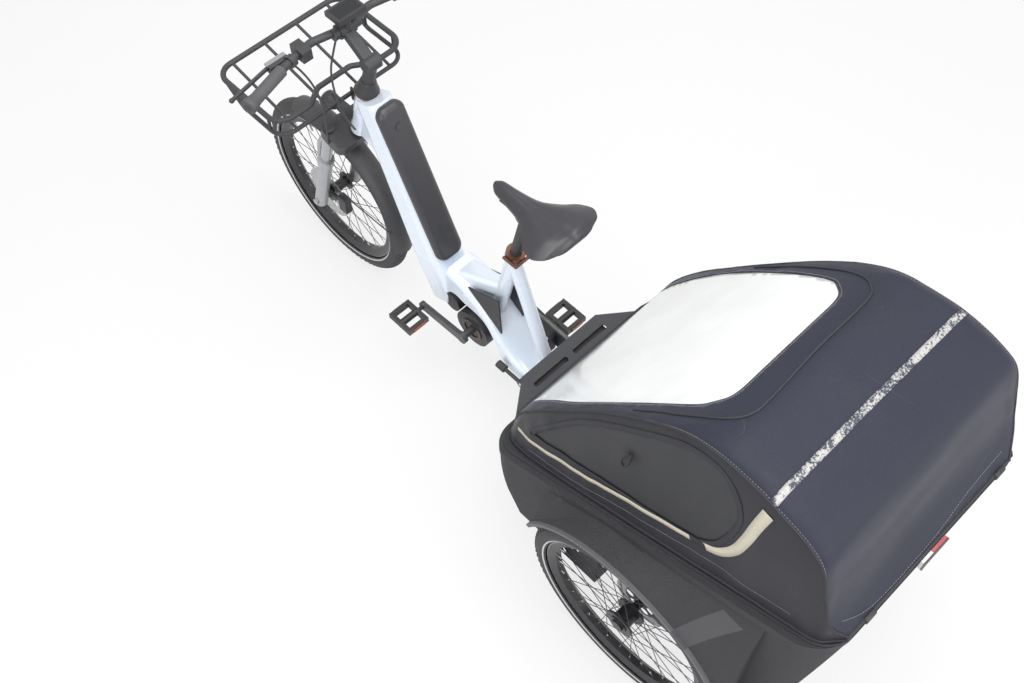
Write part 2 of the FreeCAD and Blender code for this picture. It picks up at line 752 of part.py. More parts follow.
# Fork, turning part
def save_fork_crown():
    core = rod(steer(0, 0, CROWN_BOTTOM), steer(0, 0, CONE_HEIGHT), STEERER_R)
    width = 2 * (LEG_Y + STANCHION_R) + CROWN_CAP_HEIGHT
    low = oval(steer(FORK_OFFSET / 2, 0, CROWN_BOTTOM), LEFT, STEER_AHEAD, width, CROWN_DEPTH + FORK_OFFSET,
               CROWN_DEPTH / 2)
    bridge = Part.Face(low).extrude(STEER_UP * CROWN_HEIGHT)
    pieces = [core, bridge]
    foot = AXLE_HEIGHT + LEG_TOP_ABOVE_AXLE - FORK_TRAVEL - LEG_TOP_ABOVE_AXLE / 4
    for side in SIDES:
        y = side * LEG_Y
        pieces.append(rod(steer(FORK_OFFSET, y, foot), steer(FORK_OFFSET, y, CROWN_TOP), STANCHION_R))
        cap_top = CROWN_TOP + CROWN_CAP_HEIGHT
        pieces.append(rod(steer(FORK_OFFSET, y, CROWN_TOP), steer(FORK_OFFSET, y, cap_top), CROWN_CAP_R))
    save("fork_crown", [fused(pieces)])


def save_fork_legs():
    top = AXLE_HEIGHT + LEG_TOP_ABOVE_AXLE
    foot = AXLE_HEIGHT - LEG_FOOT_BELOW_AXLE
    pieces = []
    cutters = []
    for side in SIDES:
        y = side * LEG_Y
        pieces.append(rod(steer(FORK_OFFSET, y, foot), steer(FORK_OFFSET, y, top), LEG_R))
        wiper_foot = steer(FORK_OFFSET, y, top - WIPER_HEIGHT)
        pieces.append(rod(wiper_foot, steer(FORK_OFFSET, y, top), WIPER_R))
        bore_foot = AXLE_HEIGHT + LEG_TOP_ABOVE_AXLE / 4
        bore_top = steer(FORK_OFFSET, y, top + OVERRUN)
        cutters.append(rod(steer(FORK_OFFSET, y, bore_foot), bore_top, STANCHION_R + STANCHION_PLAY))
    arch_top = AXLE_HEIGHT + TYRE_R + ARCH_CLEAR - LEG_R
    arch_low = top - WIPER_HEIGHT / 2
    arch_ahead = FORK_OFFSET + LEG_R + ARCH_FORWARD
    arch_points = [steer(arch_ahead - ARCH_TUBE_R, LEG_Y, arch_low), steer(arch_ahead, LEG_Y, arch_top),
                   steer(arch_ahead, -LEG_Y, arch_top), steer(arch_ahead - ARCH_TUBE_R, -LEG_Y, arch_low)]
    pieces.append(bent_tube(arch_points, ARCH_TUBE_R, LEG_Y / 2))
    bore_half = LEFT * (LEG_Y + LEG_R + OVERRUN)
    legs = fused(pieces).cut(Part.makeCompound(cutters))
    legs = legs.cut(rod(FRONT_AXLE - bore_half, FRONT_AXLE + bore_half, FRONT_AXLE_R))
    axle_half = LEFT * (LEG_Y + LEG_R)
    axle = rod(FRONT_AXLE - axle_half, FRONT_AXLE + axle_half, FRONT_AXLE_R)
    head = rod(FRONT_AXLE + axle_half, FRONT_AXLE + axle_half + LEFT * AXLE_HEAD, AXLE_HEAD_R)
    save("fork_legs", [legs, axle.fuse(head)])


def around_axle(radius, degrees, y):
    angle = math.radians(degrees)
    return FRONT_AXLE + V(radius * math.cos(angle), y, radius * math.sin(angle))


def save_front_mudguard():
    half = math.radians(GUARD_HALF_ANGLE)
    outer = GUARD_SECTION_R + GUARD_WALL

    def profile_point(radius, turn):
        return V(TYRE_RING_R + radius * math.cos(turn), radius * math.sin(turn), 0)

    arcs = []
    for radius in (GUARD_SECTION_R, outer):
        arcs.append(Part.Arc(profile_point(radius, -half), profile_point(radius, 0),
                             profile_point(radius, half)).toShape())
    ends = [Part.LineSegment(profile_point(GUARD_SECTION_R, turn), profile_point(outer, turn)).toShape()
            for turn in (half, -half)]
    face = Part.Face(Part.Wire([arcs[0], ends[0], arcs[1], ends[1]]))
    face.rotate(V(0, 0, 0), -LEFT, GUARD_FRONT_ANGLE)
    shell = face.revolve(V(0, 0, 0), -LEFT, GUARD_REAR_ANGLE - GUARD_FRONT_ANGLE)
    shell.translate(FRONT_AXLE)
    edge_r = TYRE_RING_R + GUARD_SECTION_R * math.cos(half)
    edge_y = outer * math.sin(half) + STAY_R
    pieces = [shell]
    for side in SIDES:
        top = around_axle(edge_r + GUARD_LUG, STAY_ANGLE, side * edge_y)
        foot_y = side * (LEG_Y - LEG_R - STAY_R - RUNNING_GAP)
        foot = steer(FORK_OFFSET, foot_y, AXLE_HEIGHT + STAY_FOOT_RISE)
        pieces.append(rod(foot, top, STAY_R))
    lug_height = ARCH_CLEAR + TYRE_R - LEG_R + AXLE_HEIGHT
    lug_foot = steer(FORK_OFFSET + LEG_R + ARCH_FORWARD, 0, lug_height - ARCH_TUBE_R)
    lug = rod(lug_foot, lug_foot - STEER_UP * GUARD_LUG, ARCH_TUBE_R).cut(
        Part.makeTorus(TYRE_RING_R, outer, FRONT_AXLE, LEFT))
    pieces.append(lug)
    save("front_mudguard", pieces)


def save_front_caliper():
    centre = FRONT_AXLE + V(-CALIPER_BACK, FRONT_DISC_Y + CALIPER_OUT, CALIPER_RISE)
    half = V(CALIPER_DEPTH / 2, CALIPER_WIDTH / 2, CALIPER_LENGTH / 2)
    body = slab(centre - half, centre + half)
    slit = ring(FRONT_AXLE + LEFT * FRONT_DISC_Y, LEFT, FRONT_DISC_R + SEAT_GAP * 2, FRONT_HUB_R, DISC_SLIT)
    body = body.cut(slit)
    arm_y = FRONT_DISC_Y + CALIPER_WIDTH / 2 - CALIPER_ARM_R
    arm_start = V(centre.x, arm_y, centre.z + CALIPER_RISE / 2)
    leg = steer(FORK_OFFSET, LEG_Y, AXLE_HEIGHT + CALIPER_RISE * 2)
    arm = rod(arm_start, V(leg.x, arm_y + LEG_R - CALIPER_ARM_R, leg.z), CALIPER_ARM_R)
    leg_keep = rod(steer(FORK_OFFSET, LEG_Y, AXLE_HEIGHT - LEG_FOOT_BELOW_AXLE),
                   steer(FORK_OFFSET, LEG_Y, AXLE_HEIGHT + LEG_TOP_ABOVE_AXLE), LEG_R)
    save("front_caliper", [body.fuse(arm.cut(slit)).cut(leg_keep)])


# Head tube, its cups and the stem
def save_head():
    tube = pipe(steer(0, 0, -HEAD_LENGTH), steer(0, 0, 0), HEAD_R, HEAD_BORE_R)
    cups = []
    for foot, top in ((-CUP_HEIGHT, 0), (-HEAD_LENGTH, CUP_HEIGHT - HEAD_LENGTH)):
        cups.append(pipe(steer(0, 0, foot), steer(0, 0, top), HEAD_BORE_R, STEERER_R + RUNNING_GAP))
    save("head_tube", [tube] + cups)


def bar_points(side):
    return [V(BAR_X, 0, BAR_Z), V(BAR_BEND_X, side * BAR_BEND_Y, BAR_Z),
            V(BAR_KNEE_X, side * BAR_KNEE_Y, BAR_Z), V(BAR_END_X, side * BAR_END_Y, BAR_Z)]


def save_stem():
    cone = turned([(STEERER_R, 0), (CONE_BASE_R, 0), (CONE_TOP_R, CONE_HEIGHT), (STEERER_R, CONE_HEIGHT)],
                  steer(0, 0, SEAT_GAP), STEER_UP)
    riser = rod(steer(0, 0, CONE_HEIGHT), steer(0, 0, RISER_HEIGHT), RISER_R)
    pivot = steer(0, 0, RISER_HEIGHT)
    clamp = V(BAR_X, 0, BAR_Z)
    across = LEFT * STEM_PIVOT_HALF
    knuckle = rod(pivot - across, pivot + across, STEM_PIVOT_R)
    run = (clamp - pivot).normalize()
    rise = run.cross(LEFT)
    arm = loft([oval(point, LEFT, rise, STEM_ARM_WIDTH, STEM_ARM_DEPTH, STEM_ARM_DEPTH / 4)
                for point in (pivot, clamp)], True)
    across = LEFT * STEM_CLAMP_HALF
    jaw = rod(clamp - across, clamp + across, STEM_CLAMP_R)
    screen_foot = clamp + V(-DISPLAY_BACK, 0, 0)
    stalk = rod(screen_foot, screen_foot + UP * DISPLAY_RISE, DISPLAY_STALK_R)
    stem = fused([cone, riser, knuckle, arm, jaw, stalk])
    save("stem", [stem.cut(rod(clamp - across * 2, clamp + across * 2, BAR_CENTRE_R))])
    low = screen_foot + V(-DISPLAY_LENGTH / 2, -DISPLAY_WIDTH / 2, DISPLAY_RISE)
    high = screen_foot + V(DISPLAY_LENGTH / 2, DISPLAY_WIDTH / 2, DISPLAY_RISE + DISPLAY_HEIGHT)
    save("display", [slab(low, high)])


def bar_side(side):
    return bent_tube(bar_points(side), BAR_R, BAR_BEND_R)


def grip_line(side):
    points = bar_points(side)
    along = (points[3] - points[2]).normalize()
    return points[3], along


def save_bar():
    centre = V(BAR_X, 0, BAR_Z)
    across = LEFT * BAR_CENTRE_HALF
    middle = rod(centre - across, centre + across, BAR_CENTRE_R)
    save("handlebar", [fused([middle] + [bar_side(side) for side in SIDES])])
    grips = []
    for side in SIDES:
        end, along = grip_line(side)
        outline = [(BAR_R, 0), (GRIP_R, 0), (GRIP_R, GRIP_LENGTH - GRIP_FLARE),
                   (GRIP_END_R, GRIP_LENGTH - BAR_R), (GRIP_END_R, GRIP_LENGTH), (BAR_R, GRIP_LENGTH)]
        grips.append(turned(outline, end - along * GRIP_LENGTH, along))
    save("grips", grips)


def bar_at(side, y):
    points = bar_points(side)
    for first, last in zip(points, points[1:]):
        if abs(first.y) <= y <= abs(last.y):
            share = (y - abs(first.y)) / (abs(last.y) - abs(first.y))
            return first + (last - first) * share, (last - first).normalize()
    return points[-1], (points[-1] - points[-2]).normalize()


def lever_pivot(side):
    place, along = bar_at(side, MOUNT_Y)
    return place + V(LEVER_PIVOT_FORWARD, side * MOUNT_OUT, -MOUNT_DROP)


def save_controls():
    place, along = bar_at(1, CONTROL_Y)
    half = V(CONTROL_LENGTH / 2, CONTROL_WIDTH / 2, CONTROL_HEIGHT / 2)
    body = slab(place - half, place + half)
    keep = rod(place - along * CONTROL_LENGTH, place + along * CONTROL_LENGTH, BAR_R)
    mounts = [body.cut(keep).cut(bar_side(1))]
    for side in SIDES:
        place, along = bar_at(side, MOUNT_Y)
        collar = ring(place, along, MOUNT_COLLAR_R, BAR_R, MOUNT_COLLAR_WIDTH)
        pivot = lever_pivot(side)
        low = V(place.x + BAR_R + SEAT_GAP, pivot.y - side * MOUNT_LENGTH / 2, pivot.z)
        body = slab(V(low.x, pivot.y - MOUNT_LENGTH / 2, pivot.z - MOUNT_HEIGHT / 2),
                    V(low.x + MOUNT_WIDTH, pivot.y + MOUNT_LENGTH / 2, pivot.z + MOUNT_HEIGHT / 2))
        eye = Part.makeCylinder(LEVER_EYE_R + SEAT_GAP * 4, LEVER_EYE_HEIGHT + SEAT_GAP * 2,
                                pivot - UP * (LEVER_EYE_HEIGHT / 2 + SEAT_GAP), UP)
        slot_low = V(pivot.x - LEVER_EYE_R, pivot.y, pivot.z - LEVER_EYE_HEIGHT / 2 - SEAT_GAP)
        slot = slab(V(slot_low.x - OVERRUN, min(pivot.y, pivot.y + side * MOUNT_LENGTH), slot_low.z),
                    V(slot_low.x + MOUNT_LENGTH, max(pivot.y, pivot.y + side * MOUNT_LENGTH),
                      slot_low.z + LEVER_EYE_HEIGHT + SEAT_GAP * 2))
        pin_half = UP * (MOUNT_HEIGHT / 2)
        pin = rod(pivot - pin_half, pivot + pin_half, LEVER_PIN_R)
        keep = rod(place - along * MOUNT_LENGTH, place + along * MOUNT_LENGTH, BAR_R)
        grip_end, grip_along = grip_line(side)
        grip_keep = rod(grip_end - grip_along * (GRIP_LENGTH + SEAT_GAP), grip_end, GRIP_R + SEAT_GAP)
        body = body.cut(eye).cut(slot).fuse(collar).cut(keep).cut(grip_keep).fuse(pin)
        mounts.append(body.cut(bar_side(side)))
    save("bar_controls", mounts)
    for name, side in (("brake_lever_left", 1), ("brake_lever_right", -1)):
        pivot = lever_pivot(side)
        tip = V(BAR_END_X + LEVER_TIP_FORWARD, side * (BAR_END_Y + LEVER_TIP_OUT), BAR_Z - MOUNT_DROP)
        knuckle = pivot + V(0, side * LEVER_KNUCKLE, 0)
        blade = bent_tube([pivot, knuckle, tip], LEVER_R, LEVER_BEND_R)
        eye = Part.makeCylinder(LEVER_EYE_R, LEVER_EYE_HEIGHT, pivot - UP * (LEVER_EYE_HEIGHT / 2), UP)
        bore_half = UP * LEVER_EYE_HEIGHT
        bore = rod(pivot - bore_half, pivot + bore_half, LEVER_PIN_R + RUNNING_GAP)
        end_ball = Part.makeSphere(LEVER_BALL_R, tip)
        save(name, [fused([blade, eye, end_ball]).cut(bore)])


def save_cables():
    routes = [[HEAD_TOP + V(*point) for point in route] for route in CABLE_ROUTES]
    save("control_cables", [loose_tube(route, CABLE_R) for route in routes])


def save_head_lamp():
    axis = FORWARD
    centre = steer(FORK_OFFSET + LAMP_FORWARD, 0, -LAMP_DROP)
    outline = [(0, 0), (LAMP_R / 2, 0), (LAMP_R, LAMP_LENGTH / 2), (LAMP_R, LAMP_LENGTH), (0, LAMP_LENGTH)]
    shell = turned(outline, centre, axis)
    stalk = rod(steer(FORK_OFFSET, 0, -LAMP_DROP), centre + axis * OVERRUN, LAMP_STALK_R)
    width = 2 * (LEG_Y + STANCHION_R) + CROWN_CAP_HEIGHT
    crown = oval(steer(FORK_OFFSET / 2, 0, CROWN_BOTTOM), LEFT, STEER_AHEAD, width, CROWN_DEPTH + FORK_OFFSET,
                 CROWN_DEPTH / 2)
    keep = Part.Face(crown).extrude(STEER_UP * CROWN_HEIGHT)
    save("head_lamp", [shell.fuse(stalk).cut(keep)])


# Down tube and battery, laid out along the back face of the tube
TUBE_RUN = V(math.cos(math.radians(TUBE_RISE)), 0, math.sin(math.radians(TUBE_RISE)))
TUBE_OUT = V(-math.sin(math.radians(TUBE_RISE)), 0, math.cos(math.radians(TUBE_RISE)))
TUBE_START = V(TUBE_LOW_X, 0, TUBE_LOW_Z) - TUBE_OUT * COVER_WALL


def tube_point(along, out):
    return TUBE_START + TUBE_RUN * along + TUBE_OUT * out


def down_tube_solid():
    head_end = BATTERY_LENGTH + TUBE_HEAD
    stations = ((-TUBE_FOOT, TUBE_WIDTH, TUBE_DEPTH), (0, TUBE_WIDTH, TUBE_DEPTH),
                (head_end, TUBE_TOP_WIDTH, TUBE_TOP_DEPTH))
    wires = []
    for along, width, depth in stations:
        wires.append(oval(tube_point(along, -depth / 2), LEFT, TUBE_OUT, width, depth, TUBE_CORNER))
    body = loft(wires, True)
    top = tube_point(head_end - TUBE_CORNER, -TUBE_TOP_DEPTH / 2)
    low = tube_point(head_end - HEAD_LENGTH - TUBE_TOP_DEPTH / 2, -TUBE_DEPTH / 2)
    neck_low = steer(0, 0, CUP_HEIGHT - HEAD_LENGTH)
    neck_top = steer(0, 0, -TUBE_CORNER * 2)
    web = side_prism([(top.x, top.z), (low.x, low.z), (neck_low.x, neck_low.z), (neck_top.x, neck_top.z)],
                     -HEAD_R + CUP_HEIGHT, HEAD_R - CUP_HEIGHT)
    cone_room = rod(steer(0, 0, 0), steer(0, 0, CONE_HEIGHT), CONE_BASE_R + SEAT_GAP)
    return body.fuse(web).cut(cone_room)


def pack_box(clear):
    length = BATTERY_LENGTH - PACK_START - PACK_END_GAP + 2 * clear
    box = Part.makeBox(length, PACK_WIDTH + 2 * clear, PACK_DEPTH + 2 * clear)
    corner = tube_point(PACK_START - clear, -PACK_DEPTH - clear) - LEFT * (PACK_WIDTH / 2 + clear)
    box.Placement = FreeCAD.Placement(corner, FreeCAD.Rotation(LEFT, -TUBE_RISE))
    return box


def beam_solid():
    wires = []
    for x, top, bottom, width in zip(BEAM_STATIONS, BEAM_TOPS, BEAM_BOTTOMS, BEAM_WIDTHS):
        centre = V(x, 0, (top + bottom) / 2)
        wires.append(oval(centre, LEFT, UP, width, top - bottom, BEAM_CORNER))
    return loft(wires, False)


def motor_solid():
    centre = V(CRANK_X, 0, CRANK_Z)
    half = LEFT * MOTOR_HALF
    body = rod(centre - half, centre + half, MOTOR_R)
    tail_half = LEFT * MOTOR_TAIL_HALF
    tail = centre + V(MOTOR_TAIL_LENGTH, 0, MOTOR_TAIL_DROP)
    return body.fuse(rod(tail - tail_half, tail + tail_half, MOTOR_TAIL_R))


SEAT_UP = V(-math.cos(math.radians(SEAT_ANGLE)), 0, math.sin(math.radians(SEAT_ANGLE)))
SEAT_FOOT = V(SEAT_FOOT_X, 0, SEAT_FOOT_Z)
SEAT_TOP = SEAT_FOOT + SEAT_UP * SEAT_TUBE_LENGTH


def save_front_frame():
    beam = beam_solid()
    motor = motor_solid()
    tilt_front = V(HOUSING_FRONT_X, 0, TILT_Z)
    head_keep = rod(steer(0, 0, -HEAD_LENGTH), steer(0, 0, 0), HEAD_R)
    beam_end_x = BEAM_STATIONS[0]
    behind = slab(V(beam_end_x - BATTERY_LENGTH, -TUBE_WIDTH, 0), V(beam_end_x, TUBE_WIDTH, BEAM_TOPS[0] * 2))
    tube = down_tube_solid().cut(behind).cut(head_keep).cut(pack_box(PACK_CLEAR)).cut(motor)
    save("down_tube", [max(tube.Solids, key=lambda solid: solid.Volume)])
    lock_pivot = V(LOCK_PIVOT_X, 0, TILT_Z + LOCK_LEVER_RISE / 2)
    lock_pin = rod(lock_pivot, lock_pivot + LEFT * (LOCK_LEVER_Y + LOCK_LEVER_ROD_R), LOCK_PIN_R)
    save("main_beam", [beam.cut(motor).fuse(lock_pin)])
    rear = SEAT_FOOT + SEAT_UP * BRIDGE_REAR_RISE
    front = V(BRIDGE_FRONT_X, 0, BRIDGE_FRONT_Z)
    along = (rear - front).normalize()
    rise = along.cross(LEFT)
    bridge = loft([oval(front, LEFT, rise, BRIDGE_WIDTH, BRIDGE_DEPTH, BRIDGE_CORNER),
                   oval(rear, LEFT, rise, BRIDGE_REAR_WIDTH, BRIDGE_DEPTH, BRIDGE_CORNER)], True)
    seat = rod(SEAT_FOOT, SEAT_TOP, SEAT_TUBE_R).fuse(bridge)
    bore_foot = SEAT_TOP - SEAT_UP * SEAT_BORE_DEPTH
    seat = seat.cut(rod(bore_foot, SEAT_TOP + SEAT_UP * OVERRUN, SEAT_POST_R + RUNNING_GAP))
    seat = seat.cut(beam).cut(motor).cut(down_tube_solid())
    seat_solid = max(seat.Solids, key=lambda solid: solid.Volume)
    save("seat_tube", [seat_solid])
    brace_top = SEAT_TOP - SEAT_UP * BRACE_DROP
    brace = rod(V(BRACE_FOOT_X, 0, TILT_Z), brace_top, BRACE_R)
    brace = brace.cut(beam).cut(rod(SEAT_FOOT, SEAT_TOP, SEAT_TUBE_R))
    save("seat_brace", [max(brace.Solids, key=lambda solid: solid.Volume)])
    save("motor_unit", [motor.cut(rod(V(CRANK_X, -CRANK_INNER_Y, CRANK_Z), V(CRANK_X, CRANK_INNER_Y, CRANK_Z),
                                      SPINDLE_R + RUNNING_GAP))] + motor_rings())
    save_motor_covers(beam, motor, seat_solid)
    shaft_end = tilt_front - FORWARD * (HOUSING_LENGTH - OVERRUN)
    beam_end = V(BEAM_STATIONS[-1], 0, TILT_Z)
    save("tilt_shaft", [pipe(shaft_end, beam_end, TILT_SHAFT_R, TILT_SHAFT_BORE)])
    save_seat_collar()


def motor_rings():
    start = V(CRANK_X, MOTOR_HALF, CRANK_Z)
    return [pipe(start, start + LEFT * MOTOR_RING_WALL, MOTOR_RING_R, MOTOR_RING_IN_R)]


def save_motor_covers(beam, motor, seat_solid):
    outline = [COVER_PLATE_FRONT, COVER_PLATE_LOW, COVER_PLATE_TOP]
    plate = side_prism(outline, COVER_PLATE_Y, COVER_PLATE_Y + COVER_PLATE_WALL)
    plates = []
    for shape in both_sides(plate):
        shape = shape.cut(beam).cut(motor).cut(seat_solid)
        plates.append(max(shape.Solids, key=lambda solid: solid.Volume))
    save("motor_covers", plates)


def save_seat_collar():
    low = SEAT_TOP - SEAT_UP * COLLAR_BELOW
    high = SEAT_TOP + SEAT_UP * COLLAR_ABOVE
    collar = rod(low, high, COLLAR_R).cut(rod(low - SEAT_UP * OVERRUN, SEAT_TOP, SEAT_TUBE_R))
    collar = collar.cut(rod(low, high + SEAT_UP * OVERRUN, SEAT_POST_R + SEAT_GAP))
    brace_top = SEAT_TOP - SEAT_UP * BRACE_DROP
    collar = collar.cut(rod(V(BRACE_FOOT_X, 0, TILT_Z), brace_top, BRACE_R))
    pin_centre = SEAT_TOP - SEAT_UP * (COLLAR_BELOW / 2) - FORWARD * (COLLAR_R + CLAMP_PIN_R)
    half = LEFT * CLAMP_PIN_HALF
    pin = rod(pin_centre - half, pin_centre + half, CLAMP_PIN_R)
    lever_start = pin_centre + half
    lever = rod(lever_start, lever_start + FORWARD * CLAMP_LEVER_LENGTH, CLAMP_LEVER_R)
    lever = lever.fuse(Part.makeSphere(CLAMP_LEVER_R + RUNNING_GAP, lever_start))
    save("seat_collar", [collar, pin.fuse(lever)])


def save_battery():
    corner = COVER_CORNER
    centre = tube_point(BATTERY_LENGTH / 2, SEAT_GAP)
    outline = oval(centre, LEFT, TUBE_RUN, COVER_WIDTH, BATTERY_LENGTH, corner)
    cover = Part.Face(outline).extrude(TUBE_OUT * (COVER_WALL - SEAT_GAP))
    edges = [edge for edge in cover.Edges
             if min((vertex.Point - centre).dot(TUBE_OUT) for vertex in edge.Vertexes) > COVER_WALL / 2]
    cover = cover.makeFillet(COVER_WALL * 3 / 4, edges)
    lock_place = tube_point(BATTERY_LENGTH - LOCK_FROM_TOP, COVER_WALL)
    lock = rod(lock_place - TUBE_OUT * LOCK_HEIGHT, lock_place + TUBE_OUT * LOCK_HEIGHT / 2, LOCK_R)
    pack = pack_box(0)
    pack.translate(TUBE_OUT * SEAT_GAP)
    save("battery", [cover.cut(lock), lock, pack])


# Seat post and saddle
def saddle_section(index):
    x = SADDLE_NOSE_X - SADDLE_LENGTH * SADDLE_STATION_SHARES[index]
    half = SADDLE_HALF_WIDTHS[index]
    top = SADDLE_Z + SADDLE_TOPS[index]
    edge = SADDLE_Z + SADDLE_EDGES[index]
    skirt = edge - SADDLE_SKIRTS[index]
    tuck = half * SADDLE_TUCK_SHARE
    arc = Part.Arc(V(x, -half, edge), V(x, 0, top), V(x, half, edge)).toShape()
    corners = [V(x, half, edge), V(x, tuck, skirt), V(x, -tuck, skirt), V(x, -half, edge)]
    sides = [Part.LineSegment(first, last).toShape() for first, last in zip(corners, corners[1:])]
    return Part.Wire([arc] + sides)


def save_saddle():
    wires = [saddle_section(index) for index in range(len(SADDLE_STATION_SHARES))]
    body = loft(wires, False)
    head = SEAT_TOP + SEAT_UP * POST_OUT
    post = rod(SEAT_TOP - SEAT_UP * POST_IN, head, SEAT_POST_R)
    half = LEFT * POST_HEAD_HALF
    knuckle = rod(head - half, head + half, POST_HEAD_R)
    rails = []
    for side in SIDES:
        start = V(head.x - RAIL_LENGTH / 2, side * RAIL_Y, head.z + POST_HEAD_R / 2)
        rails.append(rod(start, start + FORWARD * RAIL_LENGTH, RAIL_R))
    carrier = fused([post, knuckle] + rails)
    save("saddle", [body.cut(carrier)])
    save("seat_post", [carrier.cut(body)])


# Crank, pedals and chain
def pitch_radius(teeth):
    return CHAIN_PITCH / (2 * math.sin(math.pi / teeth))


def crank_end(side):
    drop = math.radians(CRANK_DROP)
    reach = side * CRANK_LENGTH
    return V(CRANK_X + reach * math.cos(drop), 0, CRANK_Z - reach * math.sin(drop))


def save_crank():
    boss = V(CRANK_X, 0, CRANK_Z)
    spindle = rod(boss - LEFT * CRANK_INNER_Y, boss + LEFT * CRANK_INNER_Y, SPINDLE_R)
    arms = [spindle]
    for side in SIDES:
        inner = LEFT * side * CRANK_INNER_Y
        wall = LEFT * side * CRANK_WALL
        end = crank_end(side)
        run = (end - boss).normalize()
        across = run.cross(LEFT)
        arms.append(rod(boss + inner, boss + inner + wall, CRANK_BOSS_R))
        arms.append(rod(end + inner, end + inner + wall, CRANK_END_R))
        wide = across * CRANK_BOSS_R * CRANK_BOSS_SHARE
        narrow = across * CRANK_END_R * CRANK_END_SHARE
        corners = [boss + wide, end + narrow, end - narrow, boss - wide]
        arms.append(closed([corner + inner for corner in corners]).extrude(wall))
    solid = fused(arms)
    cutters = []
    for side in SIDES:
        end = crank_end(side)
        outer = LEFT * side * (CRANK_INNER_Y + CRANK_WALL + OVERRUN)
        inner = LEFT * side * (CRANK_INNER_Y - OVERRUN)
        cutters.append(rod(end + inner, end + outer, PEDAL_PIN_R + RUNNING_GAP))
    save("cranks", [solid.cut(Part.makeCompound(cutters))])
    place = boss - LEFT * CHAIN_Y
    radius = pitch_radius(CHAINRING_TEETH) - CHAIN_HEIGHT / 2 - CHAIN_GAP
    plate = ring(place, LEFT, radius, SPINDLE_R, CHAINRING_WALL)
    cutters = []
    circle = (radius + CRANK_BOSS_R) / 2
    half = LEFT * CHAINRING_WEB
    for index in range(DISC_SLOT_COUNT):
        angle = math.radians(FULL_TURN * index / DISC_SLOT_COUNT)
        centre = place + V(circle * math.cos(angle), 0, circle * math.sin(angle))
        cutters.append(rod(centre - half, centre + half, CHAINRING_WEB))
    save("chainring", [plate.cut(Part.makeCompound(cutters))])


def save_pedals():
    for name, side in (("pedal_left", 1), ("pedal_right", -1)):
        end = crank_end(side)
        centre = end + LEFT * side * PEDAL_Y
        outer = V(PEDAL_LENGTH / 2, PEDAL_WIDTH / 2, PEDAL_HEIGHT / 2)
        inner = V(PEDAL_LENGTH / 2 - PEDAL_RAIL, PEDAL_WIDTH / 2 - PEDAL_RAIL, PEDAL_HEIGHT)
        cage = slab(centre - outer, centre + outer).cut(slab(centre - inner, centre + inner))
        across = LEFT * (PEDAL_WIDTH / 2)
        core = rod(centre - across, centre + across, PEDAL_CORE_R)
        pin = rod(end + LEFT * side * CRANK_INNER_Y, centre, PEDAL_PIN_R)
        body = fused([cage, core, pin])
        reflectors = []
        for way in SIDES:
            face = centre + V(way * PEDAL_LENGTH / 2, 0, 0)
            low = V(min(face.x, face.x + way * PEDAL_REFLECTOR_WALL), face.y - PEDAL_REFLECTOR_WIDTH / 2,
                    face.z - PEDAL_REFLECTOR_HEIGHT / 2)
            size = V(PEDAL_REFLECTOR_WALL, PEDAL_REFLECTOR_WIDTH, PEDAL_REFLECTOR_HEIGHT)
            reflectors.append(slab(low, low + size))
        save(name, [body] + reflectors)


def chain_loop(growth):
    # The outline of the two wheels and their outer tangents, drawn larger or smaller by one amount.
    big = pitch_radius(CHAINRING_TEETH) + growth
    small = pitch_radius(SPROCKET_TEETH) + growth
    front = V(CRANK_X, 0, CRANK_Z)
    rear = V(0, 0, TYRE_R)
    run = front - rear
    slope = math.atan2(run.z, run.x)
    spread = math.acos((big - small) / run.Length)

    def at(centre, radius, angle):
        return centre + V(radius * math.cos(angle), 0, radius * math.sin(angle))

    upper = slope + spread
    lower = slope - spread
    front_arc = [at(front, big, angle) for angle in (upper, slope, lower)]
    rear_arc = [at(rear, small, angle) for angle in (lower, slope + math.pi, upper)]
    edges = [Part.LineSegment(rear_arc[-1], front_arc[0]), Part.Arc(*front_arc),
             Part.LineSegment(front_arc[-1], rear_arc[0]), Part.Arc(*rear_arc)]
    return Part.Face(Part.Wire([edge.toShape() for edge in edges]))


def save_chain():
    band = chain_loop(CHAIN_HEIGHT / 2).cut(chain_loop(-CHAIN_HEIGHT / 2))
    solid = band.extrude(LEFT * CHAIN_WIDTH)
    solid.translate(LEFT * -(CHAIN_Y + CHAIN_WIDTH / 2))
    save("drive_chain", [solid])


